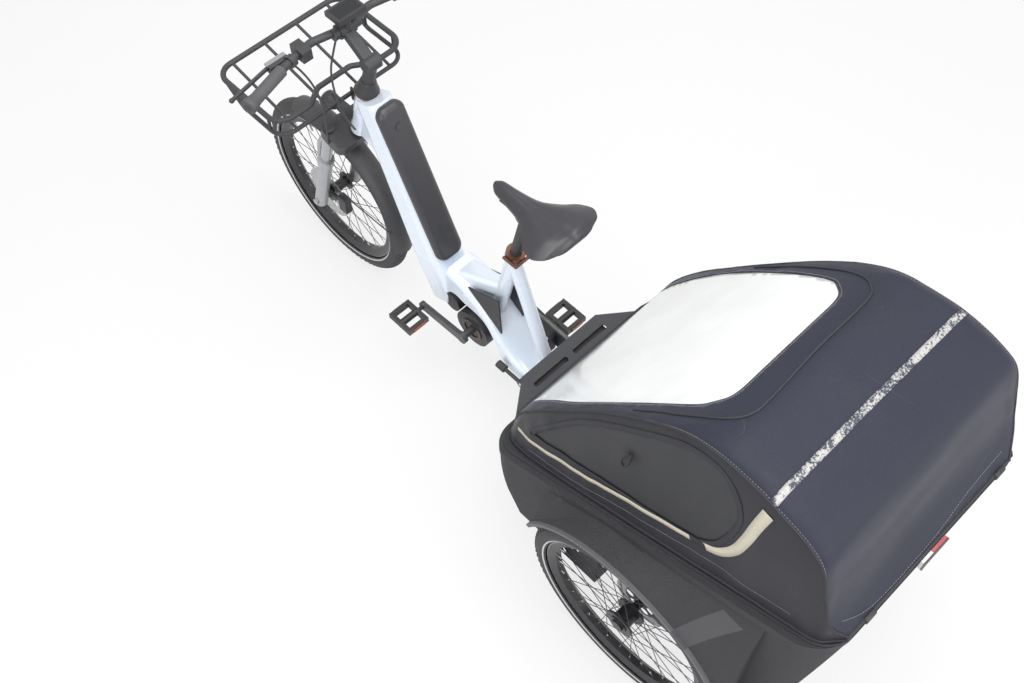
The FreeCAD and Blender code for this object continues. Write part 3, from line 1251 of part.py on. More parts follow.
def save_chain_guard():
    boss = V(CRANK_X, -CHAIN_GUARD_Y, CRANK_Z)
    radius = pitch_radius(CHAINRING_TEETH) + CHAIN_HEIGHT + CHAIN_GUARD_MARGIN
    wall = LEFT * -CHAIN_GUARD_WALL
    disc = rod(boss, boss + wall, radius)
    tail_x = CRANK_X - CHAIN_GUARD_TAIL
    tail = side_prism([(CRANK_X, CRANK_Z + radius), (tail_x, TYRE_R + CHAIN_GUARD_TAIL_HALF),
                       (tail_x, TYRE_R - CHAIN_GUARD_TAIL_HALF), (CRANK_X, CRANK_Z)],
                      -CHAIN_GUARD_Y, -CHAIN_GUARD_Y - CHAIN_GUARD_WALL)
    plate = disc.fuse(tail).cut(rod(boss - wall, boss + wall * 2, SPINDLE_R + CHAIN_GAP))
    half = BEAM_WIDTHS[-3] / 2
    arm_x = BEAM_STATIONS[-3]
    share = (CRANK_X - arm_x) / CHAIN_GUARD_TAIL
    upper = CRANK_Z + radius + (TYRE_R + CHAIN_GUARD_TAIL_HALF - CRANK_Z - radius) * share
    lower = CRANK_Z + (TYRE_R - CHAIN_GUARD_TAIL_HALF - CRANK_Z) * share
    heights = sorted([(BEAM_TOPS[-3] + BEAM_BOTTOMS[-3]) / 2, (upper + lower) / 2])
    arm = slab(V(arm_x - CHAIN_GUARD_ARM_R, -CHAIN_GUARD_Y, heights[0] - CHAIN_GUARD_ARM_R),
               V(arm_x + CHAIN_GUARD_ARM_R, -half, heights[1] + CHAIN_GUARD_ARM_R))
    save("chain_guard", [plate.fuse(arm).removeSplitter()])


# Tilt lock
def save_tilt_lock():
    pivot = V(LOCK_PIVOT_X, LOCK_LEVER_Y, TILT_Z + LOCK_LEVER_RISE / 2)
    end = pivot + FORWARD * LOCK_LEVER_LENGTH
    arm = rod(pivot, end, LOCK_LEVER_ROD_R)
    knob = rod(end - FORWARD * LOCK_KNOB_LENGTH, end, LOCK_KNOB_R)
    inner_y = BEAM_WIDTHS[-3] / 2 + SEAT_GAP * 2
    boss = rod(V(pivot.x, inner_y, pivot.z), pivot + LEFT * LOCK_LEVER_ROD_R, LOCK_BOSS_R)
    bore = rod(V(pivot.x, 0, pivot.z), pivot + LEFT * LOCK_BOSS_R, LOCK_PIN_R + RUNNING_GAP)
    save("tilt_lock_lever", [fused([arm, knob, boss]).cut(bore)])


# Chassis
def carrier_plate(y):
    bottom = TYRE_R - CARRIER_HALF_HEIGHT
    tail = CROSS_TUBE_R * CARRIER_TAIL_SHARE
    front = SPINE_END_X if y == CARRIER_INNER_Y else CARRIER_HALF_HEIGHT
    outline = [(front, bottom), (front, TYRE_R + CARRIER_HALF_HEIGHT), (CROSS_TUBE_X, CROSS_TUBE_Z + tail),
               (CROSS_TUBE_X, CROSS_TUBE_Z - tail)]
    return side_prism(outline, y - CARRIER_WALL / 2, y + CARRIER_WALL / 2)


def bearing_places():
    return [V(0, side * y, TYRE_R) for y in (CARRIER_INNER_Y, CARRIER_OUTER_Y) for side in SIDES]


BUSH_R = TILT_SHAFT_R + TILT_BUSH_WALL
HOUSING_R = BUSH_R + HOUSING_WALL
HOUSING_FRONT = V(HOUSING_FRONT_X, 0, TILT_Z)
HOUSING_BACK = HOUSING_FRONT - FORWARD * HOUSING_LENGTH
SPINE_LOW_Z = TILT_Z - SPINE_HEIGHT / 2


def save_spine():
    housing = rod(HOUSING_BACK, HOUSING_FRONT, HOUSING_R)
    spine = slab(V(SPINE_END_X + YOKE_WALL, -SPINE_WIDTH / 2, SPINE_LOW_Z),
                 V(HOUSING_BACK.x, SPINE_WIDTH / 2, SPINE_LOW_Z + SPINE_HEIGHT))
    bore = rod(HOUSING_BACK, HOUSING_FRONT + FORWARD * OVERRUN, BUSH_R)
    save("chassis_spine", [housing.cut(bore).fuse(spine)])


def save_axle_frame():
    yoke = slab(V(SPINE_END_X, -YOKE_HALF, SPINE_LOW_Z), V(SPINE_END_X + YOKE_WALL, YOKE_HALF, YOKE_TOP_Z))
    window = slab(V(SPINE_END_X - OVERRUN, -CHAIN_Y - CHAIN_WINDOW_HALF, SPINE_LOW_Z + YOKE_WALL),
                  V(SPINE_END_X + YOKE_WALL + OVERRUN, CHAIN_WINDOW_HALF - CHAIN_Y, YOKE_TOP_Z - YOKE_WALL))
    cross = V(CROSS_TUBE_X, 0, CROSS_TUBE_Z)
    half = LEFT * CROSS_TUBE_HALF
    pieces = [yoke.cut(window), rod(cross - half, cross + half, CROSS_TUBE_R)]
    for y in (CARRIER_INNER_Y, CARRIER_OUTER_Y):
        pieces.extend(both_sides(carrier_plate(y)))
    for side in SIDES:
        pad_y = side * PAD_Y
        pieces.append(slab(V(CROSS_TUBE_X - PAD_HALF, pad_y - PAD_HALF, CROSS_TUBE_Z),
                           V(CROSS_TUBE_X + PAD_HALF, pad_y + PAD_HALF, TUB_BENCH_Z)))
    half = LEFT * CARRIER_WALL
    bores = [rod(place - half, place + half, BEARING_R) for place in bearing_places()]
    save("axle_frame", [fused(pieces).cut(Part.makeCompound(bores))])


def save_floor_frame():
    foot_top = TILT_Z - HOUSING_R
    shelf = slab(V(HOUSING_BACK.x, -SPINE_WIDTH / 4, foot_top - FOOT_BAR_HEIGHT),
                 V(POST_X, SPINE_WIDTH / 4, foot_top))
    cradle = slab(V(HOUSING_BACK.x, -SPINE_WIDTH / 4, foot_top), V(HOUSING_FRONT_X, SPINE_WIDTH / 4, TILT_Z))
    bar = slab(V(POST_X - FOOT_BAR_LENGTH / 2, -POST_Y - FOOT_BAR_LENGTH / 2, foot_top - FOOT_BAR_HEIGHT),
               V(POST_X + FOOT_BAR_LENGTH / 2, POST_Y + FOOT_BAR_LENGTH / 2, foot_top))
    pieces = [shelf, bar, cradle.cut(rod(HOUSING_BACK - FORWARD * OVERRUN, HOUSING_FRONT, HOUSING_R))]
    for side in SIDES:
        foot = V(POST_X, side * POST_Y, foot_top - FOOT_BAR_HEIGHT / 2)
        pieces.append(rod(foot, V(POST_X, side * POST_Y, PLATE_Z - PLATE_WALL), POST_R))
    bars = []
    for x in SILL_X:
        sill = slab(V(x - SILL_LENGTH / 2, -SILL_HALF, SPINE_LOW_Z - SILL_HEIGHT),
                    V(x + SILL_LENGTH / 2, SILL_HALF, SPINE_LOW_Z))
        notch = slab(V(x - SILL_LENGTH, -CHAIN_Y - CHAIN_WINDOW_HALF, SPINE_LOW_Z - CHAIN_NOTCH),
                     V(x + SILL_LENGTH, CHAIN_WINDOW_HALF - CHAIN_Y, SPINE_LOW_Z + OVERRUN))
        bars.append(sill.cut(notch))
    save("floor_frame", [fused(pieces)] + bars)


def save_bearings():
    bearings = []
    for place in bearing_places():
        bearings.append(ring(place, LEFT, BEARING_R, SHAFT_R + RUNNING_GAP / 2, BEARING_WIDTH))
    for start in (HOUSING_BACK + FORWARD * OVERRUN, HOUSING_FRONT - FORWARD * TILT_BUSH_LENGTH):
        bearings.append(pipe(start, start + FORWARD * TILT_BUSH_LENGTH, BUSH_R, TILT_SHAFT_R + RUNNING_GAP))
    save("bearings", bearings)


def save_differential():
    centre = V(0, 0, TYRE_R)
    case = rod(centre - LEFT * DIFF_HALF, centre + LEFT * DIFF_HALF, DIFF_R)
    neck = rod(centre - LEFT * DIFF_HALF, centre - LEFT * (CHAIN_Y + SPROCKET_WALL / 2), DIFF_NECK_R)
    radius = pitch_radius(SPROCKET_TEETH) - CHAIN_HEIGHT / 2 - CHAIN_GAP
    sprocket = ring(centre - LEFT * CHAIN_Y, LEFT, radius, SHAFT_R, SPROCKET_WALL)
    reach = LEFT * CARRIER_INNER_Y
    body = fused([case, neck, sprocket]).cut(rod(centre - reach, centre + reach, SHAFT_R + RUNNING_GAP))
    save("differential", [body])


def save_rear_calipers():
    low = V(CROSS_TUBE_X - CROSS_TUBE_R, CROSS_TUBE_HALF, CROSS_TUBE_Z - CROSS_TUBE_R)
    size = V(REAR_CALIPER_LENGTH, REAR_DISC_Y - CROSS_TUBE_HALF + REAR_CALIPER_WIDTH / 3, REAR_CALIPER_HEIGHT)
    body = slab(low, low + size)
    slit = ring(V(0, REAR_DISC_Y, TYRE_R), LEFT, REAR_DISC_R + SEAT_GAP * 4, SHAFT_R, DISC_SLIT)
    save("rear_calipers", both_sides(body.cut(slit)))


# Tub, arches and bench
def tub_outline(inset, open_top):
    front_z = TUB_FRONT_Z + open_top
    rear_z = TUB_REAR_Z + open_top
    return [(TUB_FRONT_X - inset, front_z), (TUB_KNEE_X - inset, TUB_KNEE_Z + inset / 2),
            (TUB_FOOT_X - inset, TUB_FLOOR_Z + inset), (TUB_STEP_X + inset, TUB_FLOOR_Z + inset),
            (TUB_STEP_X + inset, TUB_BENCH_Z + inset), (TUB_TAIL_X + inset, TUB_BENCH_Z + inset),
            (TUB_REAR_X + inset, rear_z)]


def rounded_plan(front, rear, half, corner, low, high):
    centre = V((front + rear) / 2, 0, low)
    wire = oval(centre, LEFT, FORWARD, 2 * half, front - rear, corner)
    return Part.Face(wire).extrude(UP * (high - low))


def save_tub():
    low = TUB_FLOOR_Z - OVERRUN
    high = TUB_REAR_Z + TUB_CORNER
    outer = side_prism(tub_outline(0, 0), -TUB_HALF, TUB_HALF)
    outer = outer.common(rounded_plan(TUB_FRONT_X, TUB_REAR_X, TUB_HALF, TUB_CORNER, low, high))
    inner_half = TUB_HALF - TUB_WALL
    raised = TUB_WALL * RIM_SLOPE
    inner = side_prism(tub_outline(TUB_WALL, raised), -inner_half, inner_half)
    lid = side_prism([(TUB_FRONT_X, TUB_FRONT_Z), (TUB_REAR_X, TUB_REAR_Z), (TUB_REAR_X, high),
                      (TUB_FRONT_X, high)], -inner_half, inner_half)
    hollow = inner.fuse(lid)
    plan = rounded_plan(TUB_FRONT_X - TUB_WALL, TUB_REAR_X + TUB_WALL, inner_half, TUB_CORNER - TUB_WALL,
                        low, high)
    hollow = hollow.common(plan)
    tunnel = slab(V(TUB_STEP_X - OVERRUN, -TUNNEL_HALF, low), V(TUB_FRONT_X, TUNNEL_HALF, TUNNEL_TOP_Z))
    wall = V(0, TUB_WALL, TUB_WALL)
    tunnel_skin = slab(V(TUB_STEP_X - OVERRUN, -TUNNEL_HALF, low) - V(0, TUB_WALL, 0),
                       V(TUB_FRONT_X, TUNNEL_HALF, TUNNEL_TOP_Z) + wall)
    hollow = hollow.cut(tunnel_skin)
    shell = outer.cut(hollow).cut(tunnel)
    edge = [(TUB_FRONT_X, TUB_FRONT_Z), (TUB_REAR_X, TUB_REAR_Z), (TUB_REAR_X, TUB_REAR_Z - RIM_LIP_HEIGHT),
            (TUB_FRONT_X, TUB_FRONT_Z - RIM_LIP_HEIGHT)]
    lip = side_prism(edge, -TUB_HALF - RIM_LIP, TUB_HALF + RIM_LIP)
    outside = rounded_plan(TUB_FRONT_X, TUB_REAR_X, TUB_HALF + RIM_LIP, TUB_CORNER + RIM_LIP, low, high)
    lip = lip.common(outside).cut(plan)
    save("cargo_tub", [shell.fuse(lip).removeSplitter()])


def sector(radius, start, end, y0, y1):
    face_points = [V(0, y0, 0)]
    for step in range(ARC_STEPS + 1):
        angle = math.radians(start + (end - start) * step / ARC_STEPS)
        face_points.append(V(radius * math.cos(angle), y0, radius * math.sin(angle)))
    return closed(face_points).extrude(LEFT * (y1 - y0))


def arch_shoulder():
    # The foam that slopes from below the rim down to the top of the arch.
    wires = []
    radius = ARCH_INNER_R + ARCH_WALL / 2
    for step in range(SHOULDER_STEPS + 1):
        turn = (SHOULDER_REAR_ANGLE - ARCH_FRONT_ANGLE) * step / SHOULDER_STEPS
        angle = math.radians(ARCH_FRONT_ANGLE + turn)
        x = radius * math.cos(angle)
        foot = TYRE_R + radius * math.sin(angle)
        top = max(rim_z(x) - RIM_LIP_HEIGHT, foot + ARCH_WALL)
        points = [V(x, TUB_HALF, foot), V(x, ARCH_OUTER_Y - SHOULDER_EDGE, foot), V(x, TUB_HALF, top)]
        wires.append(Part.makePolygon(points + [points[0]]))
    return loft(wires, True)


def save_arches():
    start = V(0, TUB_HALF, TYRE_R)
    end = V(0, ARCH_OUTER_Y, TYRE_R)
    band = pipe(start, end, ARCH_INNER_R + ARCH_WALL, ARCH_INNER_R)
    reach = (ARCH_INNER_R + ARCH_WALL) * 2
    keep = sector(reach, ARCH_FRONT_ANGLE, ARCH_REAR_ANGLE, TUB_HALF, ARCH_OUTER_Y)
    keep.translate(UP * TYRE_R)
    lip = side_prism([(TUB_FRONT_X, TUB_FRONT_Z), (TUB_REAR_X, TUB_REAR_Z),
                      (TUB_REAR_X, TUB_REAR_Z - RIM_LIP_HEIGHT), (TUB_FRONT_X, TUB_FRONT_Z - RIM_LIP_HEIGHT)],
                     TUB_HALF, TUB_HALF + RIM_LIP)
    save("wheel_arches", both_sides(band.common(keep).fuse(arch_shoulder()).cut(lip)))


def save_bench():
    floor = TUB_BENCH_Z + TUB_WALL + SEAT_GAP
    low = V(CUSHION_REAR_X, -CUSHION_HALF, floor)
    high = V(CUSHION_FRONT_X, CUSHION_HALF, floor + CUSHION_HEIGHT)
    seat = slab(low, high)
    middle = floor + CUSHION_HEIGHT / 2
    tops = [edge for edge in seat.Edges if min(vertex.Z for vertex in edge.Vertexes) > middle]
    seat = seat.makeFillet(CUSHION_CORNER, tops)
    back = slab(V(-BACKREST_WALL, -BACKREST_HALF, 0), V(0, BACKREST_HALF, BACKREST_HEIGHT))
    tops = [edge for edge in back.Edges if min(vertex.Z for vertex in edge.Vertexes) > 0]
    back = back.makeFillet(CUSHION_CORNER, tops)
    back.rotate(V(0, 0, 0), LEFT, -BACKREST_LEAN)
    lift = BACKREST_WALL * math.sin(math.radians(BACKREST_LEAN))
    back.translate(V(CUSHION_REAR_X - SEAT_GAP, 0, floor + lift))
    save("bench_cushions", [seat, back])


def save_plate():
    outline = [(PLATE_FRONT_X, PLATE_FRONT_HALF), (PLATE_REAR_X, PLATE_REAR_HALF),
               (PLATE_REAR_X, -PLATE_REAR_HALF), (PLATE_FRONT_X, -PLATE_FRONT_HALF)]
    plate = plan_prism(outline, PLATE_Z - PLATE_WALL, PLATE_Z)
    length = PLATE_SLOT_OUTER_Y - PLATE_SLOT_INNER_Y
    centre = V(PLATE_SLOT_X, PLATE_SLOT_INNER_Y + length / 2, PLATE_Z - PLATE_WALL * 2)
    slot = Part.Face(oval(centre, FORWARD, LEFT, PLATE_SLOT_R * 2, length, PLATE_SLOT_R * SLOT_CORNER_SHARE))
    slot = slot.extrude(UP * PLATE_WALL * 3)
    tub_room = rounded_plan(TUB_FRONT_X, TUB_REAR_X, TUB_HALF + RIM_LIP, TUB_CORNER + RIM_LIP,
                            TUB_FLOOR_Z, TUB_REAR_Z)
    save("step_plate", [plate.cut(Part.makeCompound(both_sides(slot))).cut(tub_room)])


# Canopy
def canopy_section(index, x, inset):
    base_y = CANOPY_BASE_Y[index] - inset
    seam_y = CANOPY_SEAM_Y[index] - inset
    seam_z = CANOPY_SEAM_Z[index] - inset
    roof_y = CANOPY_ROOF_Y[index] - inset
    roof_z = CANOPY_ROOF_Z[index] - inset
    crown_z = roof_z + CANOPY_CROWN[index]
    base_z = rim_z(x) + CANOPY_SEAT - max(inset, 0) * 4
    half = [(base_y, base_z), (seam_y, seam_z), (roof_y, roof_z), (roof_y / 2, crown_z)]
    points = half + [(-y, z) for y, z in reversed(half)]
    points.append(points[0])
    return Part.makePolygon([V(x, y, z) for y, z in points])


def canopy_solid(inset):
    wires = []
    last = len(CANOPY_X) - 1
    for index, x in enumerate(CANOPY_X):
        place = x
        if index == 0:
            place = x - inset
        if index == last:
            place = x + inset
        wires.append(canopy_section(index, place, inset))
    return loft(wires, True)


def screen_prism(margin, hinge_gap, low, high):
    half = [(x, y + margin) for x, y in SCREEN_OUTLINE]
    half[0] = (half[0][0] + margin, half[0][1])
    half[-1] = (half[-1][0] - hinge_gap, half[-1][1])
    return plan_prism(half + [(x, -y) for x, y in reversed(half)], low, high)


def canopy_value(table, x):
    # A canopy size between its two nearest sections.
    for first in range(len(CANOPY_X) - 1):
        if CANOPY_X[first] >= x >= CANOPY_X[first + 1]:
            share = (CANOPY_X[first] - x) / (CANOPY_X[first] - CANOPY_X[first + 1])
            return table[first] + (table[first + 1] - table[first]) * share
    return table[-1]


def save_canopy():
    outer = canopy_solid(0)
    tall = max(CANOPY_ROOF_Z) + TUB_CORNER
    shell = outer.cut(canopy_solid(CANOPY_WALL)).cut(screen_prism(SCREEN_GAP, SEAT_GAP, TUB_FRONT_Z, tall))
    save("canopy", [max(shell.Solids, key=lambda solid: solid.Volume)])
    film = outer.cut(canopy_solid(SCREEN_WALL)).common(screen_prism(0, 0, CANOPY_ROOF_Z[0], tall))
    save("windscreen", [max(film.Solids, key=lambda solid: solid.Volume)])
    window = side_prism(WINDOW_OUTLINE, 0, TUB_HALF)
    skin = canopy_solid(-WINDOW_PROUD).cut(canopy_solid(-SEAT_GAP / 2)).common(window)
    panel = max(skin.Solids, key=lambda solid: solid.Volume)
    save("side_windows", both_sides(panel))


def save_hoops():
    hoops = []
    foot_y = TUB_HALF - TUB_WALL - HOOP_R - SEAT_GAP
    for x in HOOP_X:
        top = canopy_value(CANOPY_ROOF_Z, x) - HOOP_INSET
        top_y = canopy_value(CANOPY_ROOF_Y, x) - HOOP_INSET / 2 - HOOP_BEND_R
        foot_z = rim_z(x) - HOOP_FOOT_SHARE * (top - rim_z(x))
        shoulder = canopy_value(CANOPY_SEAM_Z, x) - HOOP_INSET - HOOP_BEND_R
        shoulder_y = canopy_value(CANOPY_SEAM_Y, x) - HOOP_INSET
        half = [V(x, foot_y - HOOP_INSET, foot_z), V(x, shoulder_y, shoulder), V(x, top_y, top)]
        points = half + [V(point.x, -point.y, point.z) for point in reversed(half)]
        hoop = [bent_tube(points, HOOP_R, HOOP_BEND_R)]
        for side in SIDES:
            socket = V(x, side * (foot_y - HOOP_INSET), foot_z + HOOP_R)
            hoop.append(rod(socket, V(x, side * (foot_y + HOOP_R), foot_z + HOOP_R), HOOP_R))
        hoops.append(fused(hoop))
    save("canopy_hoops", hoops)


def save_tail_lamp():
    low = V(-TAIL_REACH, -LAMP_TAIL_HALF, TUB_REAR_Z - LAMP_TAIL_HEIGHT)
    save("tail_lamp", [slab(low, V(TUB_REAR_X, LAMP_TAIL_HALF, TUB_REAR_Z))])


# Front carrier
def carrier_half_loop(z):
    corners = [(CARRIER_FRONT_X, 0), (CARRIER_FRONT_X, CARRIER_HALF), (CARRIER_REAR_X, CARRIER_HALF),
               (CARRIER_REAR_X, CARRIER_NOTCH_HALF + CARRIER_NOTCH_RUN),
               (CARRIER_NOTCH_X, CARRIER_NOTCH_HALF), (CARRIER_NOTCH_X, 0)]
    points = [V(x, y, z) for x, y in corners]
    path = bent_path(points, [CARRIER_BEND_R] * 2 + [CARRIER_NOTCH_BEND] * 2)
    profile = Part.Wire(Part.makeCircle(CARRIER_TUBE_R, points[0], points[1] - points[0]))
    return path.makePipeShell([profile], True, False)


def save_carrier():
    low_z = CARRIER_Z - CARRIER_DROP
    join_x = CARRIER_FRONT_X - CARRIER_BEND_R
    lower_points = [V(join_x, CARRIER_HALF, CARRIER_Z), V(CARRIER_RISE_X, CARRIER_HALF, low_z),
                    V(CARRIER_REAR_X, CARRIER_HALF, low_z), V(CARRIER_REAR_X, -CARRIER_HALF, low_z),
                    V(CARRIER_RISE_X, -CARRIER_HALF, low_z), V(join_x, -CARRIER_HALF, CARRIER_Z)]
    lower = bent_tube(lower_points, CARRIER_LOW_R, CARRIER_BEND_R)
    pieces = both_sides(carrier_half_loop(CARRIER_Z)) + [lower]
    for index in range(SLAT_COUNT):
        y = (index - (SLAT_COUNT - 1) / 2) * SLAT_PITCH
        pieces.append(rod(V(CARRIER_REAR_X, y, low_z), V(CARRIER_FRONT_X, y, CARRIER_Z), SLAT_R))
    for side in SIDES:
        for x in (CARRIER_REAR_X + CARRIER_BEND_R, CARRIER_RISE_X):
            foot = V(x, side * CARRIER_HALF, low_z)
            pieces.append(rod(foot, V(x, side * CARRIER_HALF, CARRIER_Z), POST_ROD_R))
    bracket_top = low_z + BRACKET_HEIGHT / 2
    for side in SIDES:
        inner = steer(0, 0, (low_z - HEAD_TOP_Z) / math.cos(LEAN_BACK))
        plate = slab(V(inner.x, side * BRACKET_Y - BRACKET_WALL / 2, low_z - BRACKET_HEIGHT / 2),
                     V(CARRIER_REAR_X, side * BRACKET_Y + BRACKET_WALL / 2, bracket_top))
        pieces.append(plate)
    head_keep = rod(steer(0, 0, -HEAD_LENGTH), steer(0, 0, 0), HEAD_R)
    save("front_carrier", [fused(pieces).cut(head_keep)])


def main():
    os.makedirs("parts", exist_ok=True)
    save_front_wheel()
    save_rear_wheel("rear_left", 1)
    save_rear_wheel("rear_right", -1)
    save_fork_crown()
    save_fork_legs()
    save_front_mudguard()
    save_front_caliper()
    save_head()
    save_stem()
    save_bar()
    save_controls()
    save_cables()
    save_head_lamp()
    save_front_frame()
    save_battery()
    save_saddle()
    save_crank()
    save_pedals()
    save_chain()
    save_chain_guard()
    save_tilt_lock()
    save_spine()
    save_axle_frame()
    save_floor_frame()
    save_bearings()
    save_differential()
    save_rear_calipers()
    save_tub()
    save_arches()
    save_bench()
    save_plate()
    save_canopy()
    save_hoops()
    save_tail_lamp()
    save_carrier()


main()
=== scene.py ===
"""Looks of the leaning cargo tricycle with a child cabin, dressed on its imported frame."""
import bisect
import math

import bmesh
import bpy
from mathutils import Matrix, Vector, noise
from mathutils.geometry import delaunay_2d_cdt


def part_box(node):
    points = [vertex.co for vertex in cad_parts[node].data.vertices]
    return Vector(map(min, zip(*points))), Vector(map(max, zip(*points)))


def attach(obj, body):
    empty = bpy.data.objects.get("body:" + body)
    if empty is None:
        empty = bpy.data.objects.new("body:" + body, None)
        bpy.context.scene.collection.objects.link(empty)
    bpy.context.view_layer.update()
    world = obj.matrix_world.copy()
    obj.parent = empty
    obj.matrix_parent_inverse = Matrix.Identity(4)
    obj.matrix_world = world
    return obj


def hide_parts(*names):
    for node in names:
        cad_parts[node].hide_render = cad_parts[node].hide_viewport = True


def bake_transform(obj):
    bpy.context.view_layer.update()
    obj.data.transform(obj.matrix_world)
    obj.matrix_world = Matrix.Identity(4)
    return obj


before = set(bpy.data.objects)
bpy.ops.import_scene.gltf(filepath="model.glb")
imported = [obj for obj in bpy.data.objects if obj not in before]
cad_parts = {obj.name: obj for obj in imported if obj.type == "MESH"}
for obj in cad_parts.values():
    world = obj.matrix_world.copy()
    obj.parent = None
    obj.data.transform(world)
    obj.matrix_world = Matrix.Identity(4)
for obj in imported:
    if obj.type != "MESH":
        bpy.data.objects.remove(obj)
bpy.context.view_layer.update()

# Places are given in millimetres ahead of the rear axle, to the left and above the ground.
AXLE_BACK = 0.71975
AXLE_UP = 0.3135
REAR_HUB = (-AXLE_BACK, AXLE_UP)
REAR_TRACK = 0.386
FRONT_HUB = (1.596 - AXLE_BACK, AXLE_UP)
STEER_TOP = (1357, 0, 916)
STEER_LEAN = math.radians(73)
BATTERY_FOOT = (1043, 0, 468)
BATTERY_LEAN = math.radians(64.8)
LOCK_ALONG = 0.444
# Rings of the lock's face: start, end, colour, roughness and metal share
LOCK_RINGS = ((0.0072, 0.012, (132, 132, 135), 0.3, 0.6), (-0.01, 0.0058, (168, 168, 170), 0.28, 0.8))
SIDES = ((1, "left"), (-1, "right"))


def spot(x, y, z):
    return Vector((x / 1000 - AXLE_BACK, y / 1000, z / 1000))


def held(value):
    """A value kept between 0 and 1."""
    return min(max(value, 0.0), 1.0)


# Making meshes

def placed(name, data):
    """A new object in the scene."""
    obj = bpy.data.objects.new(name, data)
    bpy.context.scene.collection.objects.link(obj)
    return obj


def mesh_piece(name, points, faces, finish, body, smooth=True):
    """A new piece from its points and faces, riding on a body."""
    mesh = bpy.data.meshes.new(name)
    mesh.from_pydata([tuple(p) for p in points], [], faces)
    mesh.validate()
    return piece_from(name, mesh, finish, body, smooth)


def piece_from(name, mesh, finish, body, smooth=True):
    obj = placed(name, mesh)
    mesh.materials.clear()
    mesh.materials.append(finish)
    mesh.polygons.foreach_set("use_smooth", [smooth] * len(mesh.polygons))
    if body:
        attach(obj, body)
    return obj


BLOCK_CORNERS = ((-1, -1), (1, -1), (1, 1), (-1, 1))


def block_faces(first):
    """The top and sides of a raised block, from four points round its foot and then four round its top."""
    a, b, c, d, e, f, g, h = range(first, first + 8)
    return [(e, f, g, h), (a, b, f, e), (b, c, g, f), (c, d, h, g), (d, a, e, h)]


def grid_faces(rows, row, closed=False):
    """Faces between neighbouring rows of points, each row open or closed on itself."""
    return [(i * row + j, i * row + (j + 1) % row, (i + 1) * row + (j + 1) % row, (i + 1) * row + j)
        for i in range(rows - 1) for j in range(row if closed else row - 1)]


def sharpen(obj, degrees=35):
    """Marks the edges that turn by more than an angle, so that they shade crisp."""
    solid = bmesh.new()
    solid.from_mesh(obj.data)
    for edge in solid.edges:
        edge.smooth = len(edge.link_faces) == 2 and edge.calc_face_angle(0) < math.radians(degrees)
    solid.to_mesh(obj.data)
    solid.free()
    return obj


def settle(obj):
    """Applies what the piece's modifiers make, so that none is left on it."""
    held = bpy.context.evaluated_depsgraph_get()
    made = bpy.data.meshes.new_from_object(obj.evaluated_get(held))
    obj.modifiers.clear()
    obj.data = made
    return obj


def subdivide(obj, levels=1):
    obj.modifiers.new("Smoother", "SUBSURF").levels = levels
    obj.modifiers[-1].render_levels = levels
    bpy.context.view_layer.update()
    return settle(obj)


def thicken(obj, wall, offset=-1):
    shell = obj.modifiers.new("Cloth wall", "SOLIDIFY")
    shell.thickness = wall
    shell.offset = offset
    bpy.context.view_layer.update()
    return settle(obj)


def line_mesh(name, points, radius, order=3, closed=False, steps=10, sides=3):
    """A round cord along a smooth line through its control points, as a mesh."""
    curve = bpy.data.curves.new(name, "CURVE")
    curve.dimensions = "3D"
    spline = curve.splines.new("NURBS")
    spline.points.add(len(points) - 1)
    for at, p in zip(spline.points, points):
        at.co = (*p, 1)
    spline.order_u = order
    spline.use_endpoint_u = not closed
    spline.use_cyclic_u = closed
    spline.resolution_u = steps
    curve.bevel_depth = radius
    curve.bevel_resolution = sides
    curve.use_fill_caps = True
    holder = placed(name + " line", curve)
    bpy.context.view_layer.update()
    held = bpy.context.evaluated_depsgraph_get()
    mesh = bpy.data.meshes.new_from_object(holder.evaluated_get(held))
    bpy.data.objects.remove(holder)
    bpy.data.curves.remove(curve)
    mesh.name = name
    return mesh


def cord_piece(name, points, radius, finish, body, slot, **shape):
    return piece_from(name, line_mesh(name, points, radius, **shape), finish, body)


# Making shader nodes

COLOUR_SOCKETS = ("Colour", "Second")


def shade(red, green, blue):
    """A colour as seen on a screen, 0 to 255, on the shader's own scale."""
    return (*[((c / 255 + 0.055) / 1.055) ** 2.4 for c in (red, green, blue)], 1.0)


def wire(tree, node, inputs):
    """Sets a node's inputs, or feeds them from other sockets."""
    for label, value in inputs.items():
        if isinstance(value, bpy.types.NodeSocket):
            tree.links.new(value, node.inputs[label])
        else:
            node.inputs[label].default_value = value
    return node


def put(tree, kind, inputs=(), **settings):
    """A shader node with its settings and inputs."""
    node = tree.nodes.new("ShaderNode" + kind)
    for label, value in settings.items():
        setattr(node, label, value)
    return wire(tree, node, dict(inputs))


def calc(tree, operation, *values, clamp=False):
    return put(tree, "Math", dict(enumerate(values)), operation=operation, use_clamp=clamp).outputs[0]


def times(tree, first, second):
    return calc(tree, "MULTIPLY", first, second)


def plus(tree, first, second, clamp=False):
    return calc(tree, "ADD", first, second, clamp=clamp)


def ripples(tree, value, rate):
    """Waves along a value, each as long as a full turn over the rate."""
    return calc(tree, "SINE", times(tree, value, rate))


def dot(tree, first, second):
    return put(tree, "VectorMath", {0: first, 1: second}, operation="DOT_PRODUCT").outputs["Value"]


def spread(tree, value, low, high, start=0.0, end=1.0):
    """A value stretched from one span to another and held inside it."""
    sockets = {"Value": value, "From Min": low, "From Max": high, "To Min": start, "To Max": end}
    return put(tree, "MapRange", sockets).outputs["Result"]


def mixed(tree, factor, first, second):
    return put(tree, "Mix", {0: factor, 6: first, 7: second}, data_type="RGBA").outputs[2]


def coords(tree, kind="Object"):
    return put(tree, "TexCoord").outputs[kind]


def axes(tree, vector=None):
    return put(tree, "SeparateXYZ", {"Vector": vector or coords(tree)}).outputs


